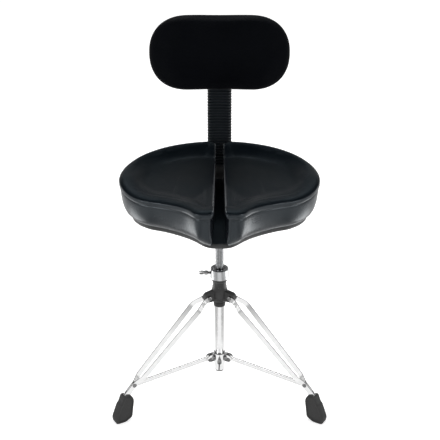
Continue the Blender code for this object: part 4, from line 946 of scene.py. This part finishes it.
def pad_outline(inset):
    """The pad seen from the front: two squarish ends and slightly waisted long sides."""
    radius = PAD_HEIGHT / 2
    straight = PAD_WIDTH / 2 - radius
    points = []
    for sign, start in ((1, -pi / 2), (-1, pi / 2)):
        for end in arc((0, 0), 1, start, start + pi, steps=48):
            x, y = (copysign(abs(v) ** (2 / PAD_SQUARE), v) * (radius - inset) for v in end)
            points.append(Vector((sign * straight + x, y)))
        for i in range(1, PAD_SIDE_STEPS):
            x = sign * straight * (1 - 2 * i / PAD_SIDE_STEPS)
            waist = PAD_WAIST * cos(pi * x / (2 * straight)) ** 2
            points.append(Vector((x, sign * (radius - inset - waist))))
    return resample(points, PAD_COUNT)


# From the back over the rounded edge: inset in metres, share of the depth under the crown
PAD_WALL = (
    (0.0095, 0), (0.007, 0.01), (0.005, 0.05), (0.0032, 0.12), (0.0016, 0.22), (0.0006, 0.33),
    (0.0002, 0.42), (0.0003, 0.455), (0.0014, 0.475), (0.0014, 0.485), (0.0003, 0.505), (0.0003, 0.55),
    (0.0008, 0.64), (0.0018, 0.73), (0.0034, 0.82), (0.0056, 0.9), (0.0084, 0.965),
)
# Over the front: share of the way to the middle line, share of the crown
PAD_FRONT = (
    (0.06, 0.16), (0.13, 0.34), (0.22, 0.53), (0.33, 0.71), (0.46, 0.86), (0.62, 0.95), (0.8, 0.99),
    (0.94, 1),
)
# The ring of the seam's groove, how far the pad swells, and how that fades
PAD_SEAM = 8
PAD_SWELL, PAD_HELD, PAD_SEAM_FADE, PAD_BACK_FADE = 0.0025, 0.004, 0.006, 0.01


def make_backrest():
    low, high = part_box("backrest_cushion")
    middle_z = (low.z + high.z) / 2
    back_y = high.y
    body = PAD_DEPTH - PAD_CROWN
    straight = PAD_WIDTH / 2 - PAD_HEIGHT / 2
    rings = []
    for inset, share in PAD_WALL:
        outline = pad_outline(inset)
        rings.append([Vector((p.x, back_y - body * share, middle_z + p.y)) for p in outline])
    for inward, rise in PAD_FRONT:
        y = back_y - body * share - (PAD_CROWN + body * (1 - share)) * rise
        ring = []
        for p in outline:
            spot = p.lerp(Vector((max(-straight, min(straight, p.x)), 0)), inward)
            ring.append(Vector((spot.x, y, middle_z + spot.y)))
        rings.append(ring)
    end = max(range(PAD_COUNT), key=lambda i: rings[-1][i].x)
    mesh = skin("backrest_upholstery", rings, start=end)
    mesh.flip_normals()
    seam_y = rings[PAD_SEAM][0].y

    def cap(point):
        at_seam = smooth(abs(point.y - seam_y) / PAD_SEAM_FADE)
        return PAD_SWELL * at_seam * smooth((back_y - point.y) / PAD_BACK_FADE)

    swell(mesh, lambda point: point.y > back_y - PAD_HELD, cap)
    cover = piece("backrest_upholstery", mesh, "backrest", BACK_FABRIC)
    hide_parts("backrest_cushion")


# Ribbed cover on the bar

# Up one rib: share of the pitch, share of the way from core to crest
RIB = ((0, 0), (0.1, 0.05), (0.2, 0.45), (0.3, 0.86), (0.4, 0.98), (0.5, 1))
RIB += tuple((1 - share, crest) for share, crest in RIB[-2:0:-1])


def make_cover():
    low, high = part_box("spine_cover")
    middle_y = (low.y + high.y) / 2
    section = rounded_rectangle(COVER_WIDTH, COVER_DEPTH, COVER_CORNER, steps=8)
    gap = 2 * BAR_CLEARANCE
    bore = rounded_rectangle(BAR_WIDTH + gap, BAR_DEPTH + gap, BAR_CORNER, steps=8)
    ribs = int((high.z - low.z) / COVER_PITCH)
    pitch = (high.z - low.z) / ribs

    def ring(outline, scale, z):
        return [Vector((x * scale, middle_y + y * scale, z)) for x, y in outline]

    rings = [ring(bore, 1, low.z)]
    for i in range(ribs):
        for share, crest in RIB:
            scale = COVER_CORE + (1 - COVER_CORE) * crest
            rings.append(ring(section, scale, low.z + pitch * (i + share)))
    rings += [ring(section, COVER_CORE, high.z), ring(bore, 1, high.z), rings[0]]
    mesh = face_out(skin("spine_bellows", rings, capped=False), merge=1e-6)
    cover = piece("spine_bellows", mesh, "back_bar", COVER_RUBBER, sharp=60)
    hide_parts("spine_cover")
    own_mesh(cover)


# Threaded spindle

# Up one turn of the thread: share of the pitch, share of the depth
THREAD_SHAPE = ((0, 0), (0.34, 0), (0.52, 1), (0.82, 1))
THREAD_SIDES, THREAD_SPARE = 32, 4
# The spindle's ends narrow to this share over one pitch
END_SHARE = 0.88


def make_spindle():
    """The thread is a grid that climbs a pitch each turn, cut off level at both ends."""
    low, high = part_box("threaded_spindle")
    radius = (high.x - low.x) / 2
    step = len(THREAD_SHAPE)
    bm = bmesh.new()
    grid = []
    for turn in range(int((high.z - low.z) / THREAD_PITCH) + THREAD_SPARE):
        for share, sunk in THREAD_SHAPE:
            row = []
            for k, around in enumerate(turns(THREAD_SIDES)):
                z = low.z + THREAD_PITCH * (turn - 1 + share + k / THREAD_SIDES)
                end = min(1.0, max(0.0, min(z - low.z, high.z - z) / THREAD_PITCH))
                r = (radius - THREAD_DEPTH * sunk) * (END_SHARE + (1 - END_SHARE) * end)
                row.append(bm.verts.new((r * cos(around), AXIS_Y + r * sin(around), z)))
            grid.append(row)
    for i, (row, above) in enumerate(zip(grid, grid[1:])):
        for k in range(THREAD_SIDES - 1):
            bm.faces.new((row[k], row[k + 1], above[k + 1], above[k]))
        if i + step + 1 < len(grid):
            bm.faces.new((row[-1], grid[i + step][0], grid[i + step + 1][0], above[-1]))
    for z, away in ((low.z, -1), (high.z, 1)):
        geom = bm.verts[:] + bm.edges[:] + bm.faces[:]
        bmesh.ops.bisect_plane(bm, geom=geom, plane_co=(0, 0, z), plane_no=(0, 0, away), clear_outer=True)
    bmesh.ops.remove_doubles(bm, verts=bm.verts, dist=0.00002)
    bmesh.ops.holes_fill(bm, edges=[edge for edge in bm.edges if edge.is_boundary], sides=0)
    mesh = face_out(to_mesh(bm, "spindle_thread"))
    thread = piece("spindle_thread", mesh, "spindle", THREADED_STEEL, sharp=50)
    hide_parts("threaded_spindle")


# Screws

SCREW_HEAD, SCREW_HEIGHT = 0.0046, 0.0027
# Up a screw's head: share of its radius, share of its height
SCREW_SHAPE = ((0.98, 0), (1, 0.12), (0.97, 0.45), (0.86, 0.72), (0.66, 0.9), (0.36, 0.98), (0.12, 1))
# Its cross recess, in shares of the head
CROSS_LENGTH, CROSS_WIDTH, CROSS_LEVEL = 1.15, 0.24, 0.95
CROSS_TURN, SCREW_TURN = 0.4, 1.3
PLATE_SCREWS = (0.122, 0.122)
SOCKET_SCREW_R, SOCKET_SCREW_START, SOCKET_FLANGE = 0.031, 40, 0.005
GUIDE_SCREW_EDGE, GUIDE_SCREW_SHARE, GUIDE_LUG = 0.018, 0.6, 0.0025
CARRIAGE_SCREWS, CARRIAGE_SINK = (0.066, 0.05), 0.003


def screw_mesh():
    """A pan-head screw along +Z with a cross recess, its seat at Z = 0."""
    rings = []
    for share, level in SCREW_SHAPE:
        r, z = SCREW_HEAD * share, SCREW_HEIGHT * level
        rings.append([Vector((r * cos(t), r * sin(t), z)) for t in turns(count=32)])
    body = new_object("screw", skin("screw", rings))
    bm = bmesh.new()
    size = Matrix.Diagonal((SCREW_HEAD * CROSS_LENGTH, SCREW_HEAD * CROSS_WIDTH, SCREW_HEIGHT, 1))
    lift = Matrix.Translation((0, 0, SCREW_HEIGHT * CROSS_LEVEL))
    for turn in (0, pi / 2):
        place = Matrix.Rotation(turn + CROSS_TURN, 4, "Z") @ lift @ size
        bmesh.ops.create_cube(bm, size=1.0, matrix=place)
    cutter = new_object("cross", to_mesh(bm, "cross"))
    cut = body.modifiers.new("Cross", "BOOLEAN")
    cut.solver = "EXACT"
    cut.use_self = True
    cut.object = cutter
    mesh = baked(body)
    bpy.data.objects.remove(cutter)
    return mesh


def screws(name, body, spots, facing, mesh):
    """Screw heads at spots, facing one way, as one piece."""
    bm = bmesh.new()
    aim = Vector((0, 0, 1)).rotation_difference(facing).to_matrix().to_4x4()
    for i, spot in enumerate(spots):
        part = mesh.copy()
        part.transform(Matrix.Translation(spot) @ aim @ Matrix.Rotation(SCREW_TURN * i, 4, "Z"))
        bm.from_mesh(part)
        bpy.data.meshes.remove(part)
    made = piece(name, to_mesh(bm, name), body, DARK_ZINC, sharp=35)


def make_screws():
    head = screw_mesh()
    down, back = Vector((0, 0, -1)), Vector((0, 1, 0))
    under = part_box("mount_plate")[0].z
    spots = [(x, AXIS_Y + y, under) for x, y in square(*PLATE_SCREWS)]
    screws("plate_screws", "seat", spots, down, head)
    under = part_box("seat_socket")[1].z - SOCKET_FLANGE
    angles = [radians(SOCKET_SCREW_START + 90 * k) for k in range(4)]
    spots = [(SOCKET_SCREW_R * cos(a), AXIS_Y + SOCKET_SCREW_R * sin(a), under) for a in angles]
    screws("socket_screws", "seat", spots, down, head)
    low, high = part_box("bar_guide")
    middle, under = (low.y + high.y) / 2, high.z - GUIDE_LUG
    grid = square(high.x - low.x - GUIDE_SCREW_EDGE, (high.y - low.y) * GUIDE_SCREW_SHARE)
    screws("guide_screws", "seat", [(x, middle + y, under) for x, y in grid], down, head)
    low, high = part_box("backrest_carriage")
    middle = (low.z + high.z) / 2
    spots = [(x, low.y + CARRIAGE_SINK, middle + z) for x, z in square(*CARRIAGE_SCREWS)]
    screws("carriage_screws", "backrest", spots, back, head)


# Solids that stay, with finer edges

EDGE_WIDTH = {"black_casting": 0.0006, "black_rubber": 0.0012, "board_plastic": 0.0008}
OTHER_EDGE_WIDTH = 0.0004


def shade_by_angle(limit):
    """A modifier's node group that shades smooth except along edges sharper than the limit."""
    group = bpy.data.node_groups.new("shade_by_angle", "GeometryNodeTree")
    for way in ("INPUT", "OUTPUT"):
        group.interface.new_socket("Geometry", in_out=way, socket_type="NodeSocketGeometry")
    start = add(group, "GroupInput", family="").outputs[0]
    whole = add(group, "SetShadeSmooth", [("Geometry", start)], "Geometry")
    angle = add(group, "InputMeshEdgeAngle", family="Geometry").outputs["Unsigned Angle"]
    sharp = add(group, "Compare", [("A", angle), ("B", limit)], "Function", operation="GREATER_THAN")
    values = [("Geometry", whole.outputs[0]), ("Selection", sharp.outputs[0]), ("Shade Smooth", False)]
    edged = add(group, "SetShadeSmooth", values, "Geometry", domain="EDGE")
    add(group, "GroupOutput", [(0, edged.outputs[0])], family="")
    return group


def dress_solids():
    shading = shade_by_angle(radians(32))
    for name, solid in NODES.items():
        for place in solid.material_slots:
            key = place.material.name.split(".")[0]
            place.material = NODE_FINISH.get(name, FINISHES[key])
        solid.modifiers.new("Weld", "WELD").merge_threshold = 0.00001
        solid.modifiers.new("Angle", "NODES").node_group = shading
        bevel = solid.modifiers.new("Edge", "BEVEL")
        bevel.width = EDGE_WIDTH.get(key, OTHER_EDGE_WIDTH)
        bevel.segments = 2
        bevel.angle_limit = radians(38)
        bevel.miter_outer = "MITER_ARC"
        solid.modifiers.new("Shade", "WEIGHTED_NORMAL").keep_sharp = True


# Stage

FLOOR_GAP, FLOOR_TONE = 0.0002, (0.82, 0.82, 0.82, 1)
# In reflections the white floor has a dim strip along each side: its place, fade and tone
STRIP_X, STRIP_FADE, STRIP_TONE = 0.4, (0.05, 0.22), 0.52
WHITE = (1, 1, 1, 1)
# In reflections the background is white at the horizon and dims towards the unlit ceiling
SWEEP = ((0.06, 1), (0.26, 0.8), (0.42, 0.17), (0.75, 0.04))
# Lamps: name, place, target, size in metres, power in watts
LAMPS = (
    ("top_box", (0, 0.9, 2.4), (0, 0, 0.45), (1.8, 1.4), 38),
    ("left_box", (-2.0, -1.5, 1.3), (0, 0, 0.45), (0.7, 1.6), 16),
    ("right_box", (2.0, -1.5, 1.3), (0, 0, 0.45), (0.7, 1.6), 14),
    ("left_card", (-0.66, 0.09, 0.012), (-0.66, 0.09, 1), (0.44, 0.36), 1.1),
    ("right_card", (0.66, 0.09, 0.012), (0.66, 0.09, 1), (0.44, 0.36), 1.3),
)


def by_ray(tree, plain, seen, mirror):
    """One shader for the light's rays, one for the camera's, one for reflected or refracted ones."""
    rays = add(tree, "LightPath").outputs
    direct = add(tree, "MixShader", [(0, rays["Is Camera Ray"]), (1, plain), (2, seen)])
    share = maths(tree, "MAXIMUM", rays["Is Glossy Ray"], rays["Is Transmission Ray"])
    values = [(0, share), (1, direct.outputs[0]), (2, mirror)]
    return add(tree, "MixShader", values).outputs[0]


def make_floor():
    bm = bmesh.new()
    bmesh.ops.create_grid(bm, x_segments=8, y_segments=8, size=6.0)
    mesh = to_mesh(bm, "floor")
    floor = new_object("floor", mesh)
    floor.location = (0, 0, CAD_BOX[0].z - FLOOR_GAP)
    material = bpy.data.materials.new("floor")
    material.use_nodes = True
    tree = material.node_tree
    tree.nodes.clear()
    matte = add(tree, "BsdfDiffuse", [("Color", FLOOR_TONE)]).outputs[0]
    glow = add(tree, "Emission", [("Strength", 0.64)]).outputs[0]
    lit = add(tree, "AddShader", [(0, matte), (1, glow)]).outputs[0]
    across = add(tree, "SeparateXYZ", [(0, position(tree))]).outputs["X"]
    aside = maths(tree, "SUBTRACT", maths(tree, "ABSOLUTE", across), STRIP_X)
    strength = span(tree, maths(tree, "ABSOLUTE", aside), *STRIP_FADE, STRIP_TONE, 1.0)
    white = add(tree, "Emission", [("Strength", strength)]).outputs[0]
    add(tree, "OutputMaterial", [("Surface", by_ray(tree, matte, lit, white))])
    mesh.materials.append(material)


def make_world():
    world = bpy.data.worlds.new("studio")
    world.use_nodes = True
    SCENE.world = world
    tree = world.node_tree
    tree.nodes.clear()
    soft = add(tree, "Background", [("Color", WHITE), ("Strength", 0.45)]).outputs[0]
    white = add(tree, "Background", [("Color", WHITE)]).outputs[0]
    ray = add(tree, "TexCoord").outputs["Generated"]
    up = add(tree, "SeparateXYZ", [(0, ray)]).outputs["Z"]
    ramp = add(tree, "ValToRGB", [("Fac", up)])
    ramp.color_ramp.interpolation = "EASE"
    while len(ramp.color_ramp.elements) < len(SWEEP):
        ramp.color_ramp.elements.new(0.5)
    for element, (place, tone) in zip(ramp.color_ramp.elements, SWEEP):
        element.position = place
        element.color = (tone, tone, tone, 1)
    sweep = add(tree, "Background", [("Color", ramp.outputs["Color"])]).outputs[0]
    add(tree, "OutputWorld", [("Surface", by_ray(tree, soft, white, sweep))])


def make_lights():
    for name, spot, target, size, power in LAMPS:
        lamp = bpy.data.lights.new(name, "AREA")
        lamp.shape = "RECTANGLE"
        lamp.size, lamp.size_y = size
        lamp.energy = power
        made = new_object(name, lamp)
        made.location = spot
        made.rotation_euler = (Vector(target) - Vector(spot)).to_track_quat("-Z", "Y").to_euler()
        made.visible_camera = False


def make_camera():
    lens = bpy.data.cameras.new("camera")
    lens.lens = FOCAL_PIXELS / FRAME_PIXELS * lens.sensor_width
    lens.shift_x = (FRAME_PIXELS / 2 - AXIS_PIXEL) / FRAME_PIXELS
    camera = new_object("camera", lens)
    camera.location = (0, AXIS_Y - CAMERA_BACK, CAMERA_UP)
    camera.rotation_euler = (pi / 2 - CAMERA_DOWN, 0, 0)
    SCENE.camera = camera
    SCENE.view_settings.view_transform = "Standard"


make_camera()
dress_solids()
make_seat()
make_board()
make_straps()
make_boots()
make_backrest()
make_cover()
make_spindle()
make_screws()
make_floor()
make_world()
make_lights()
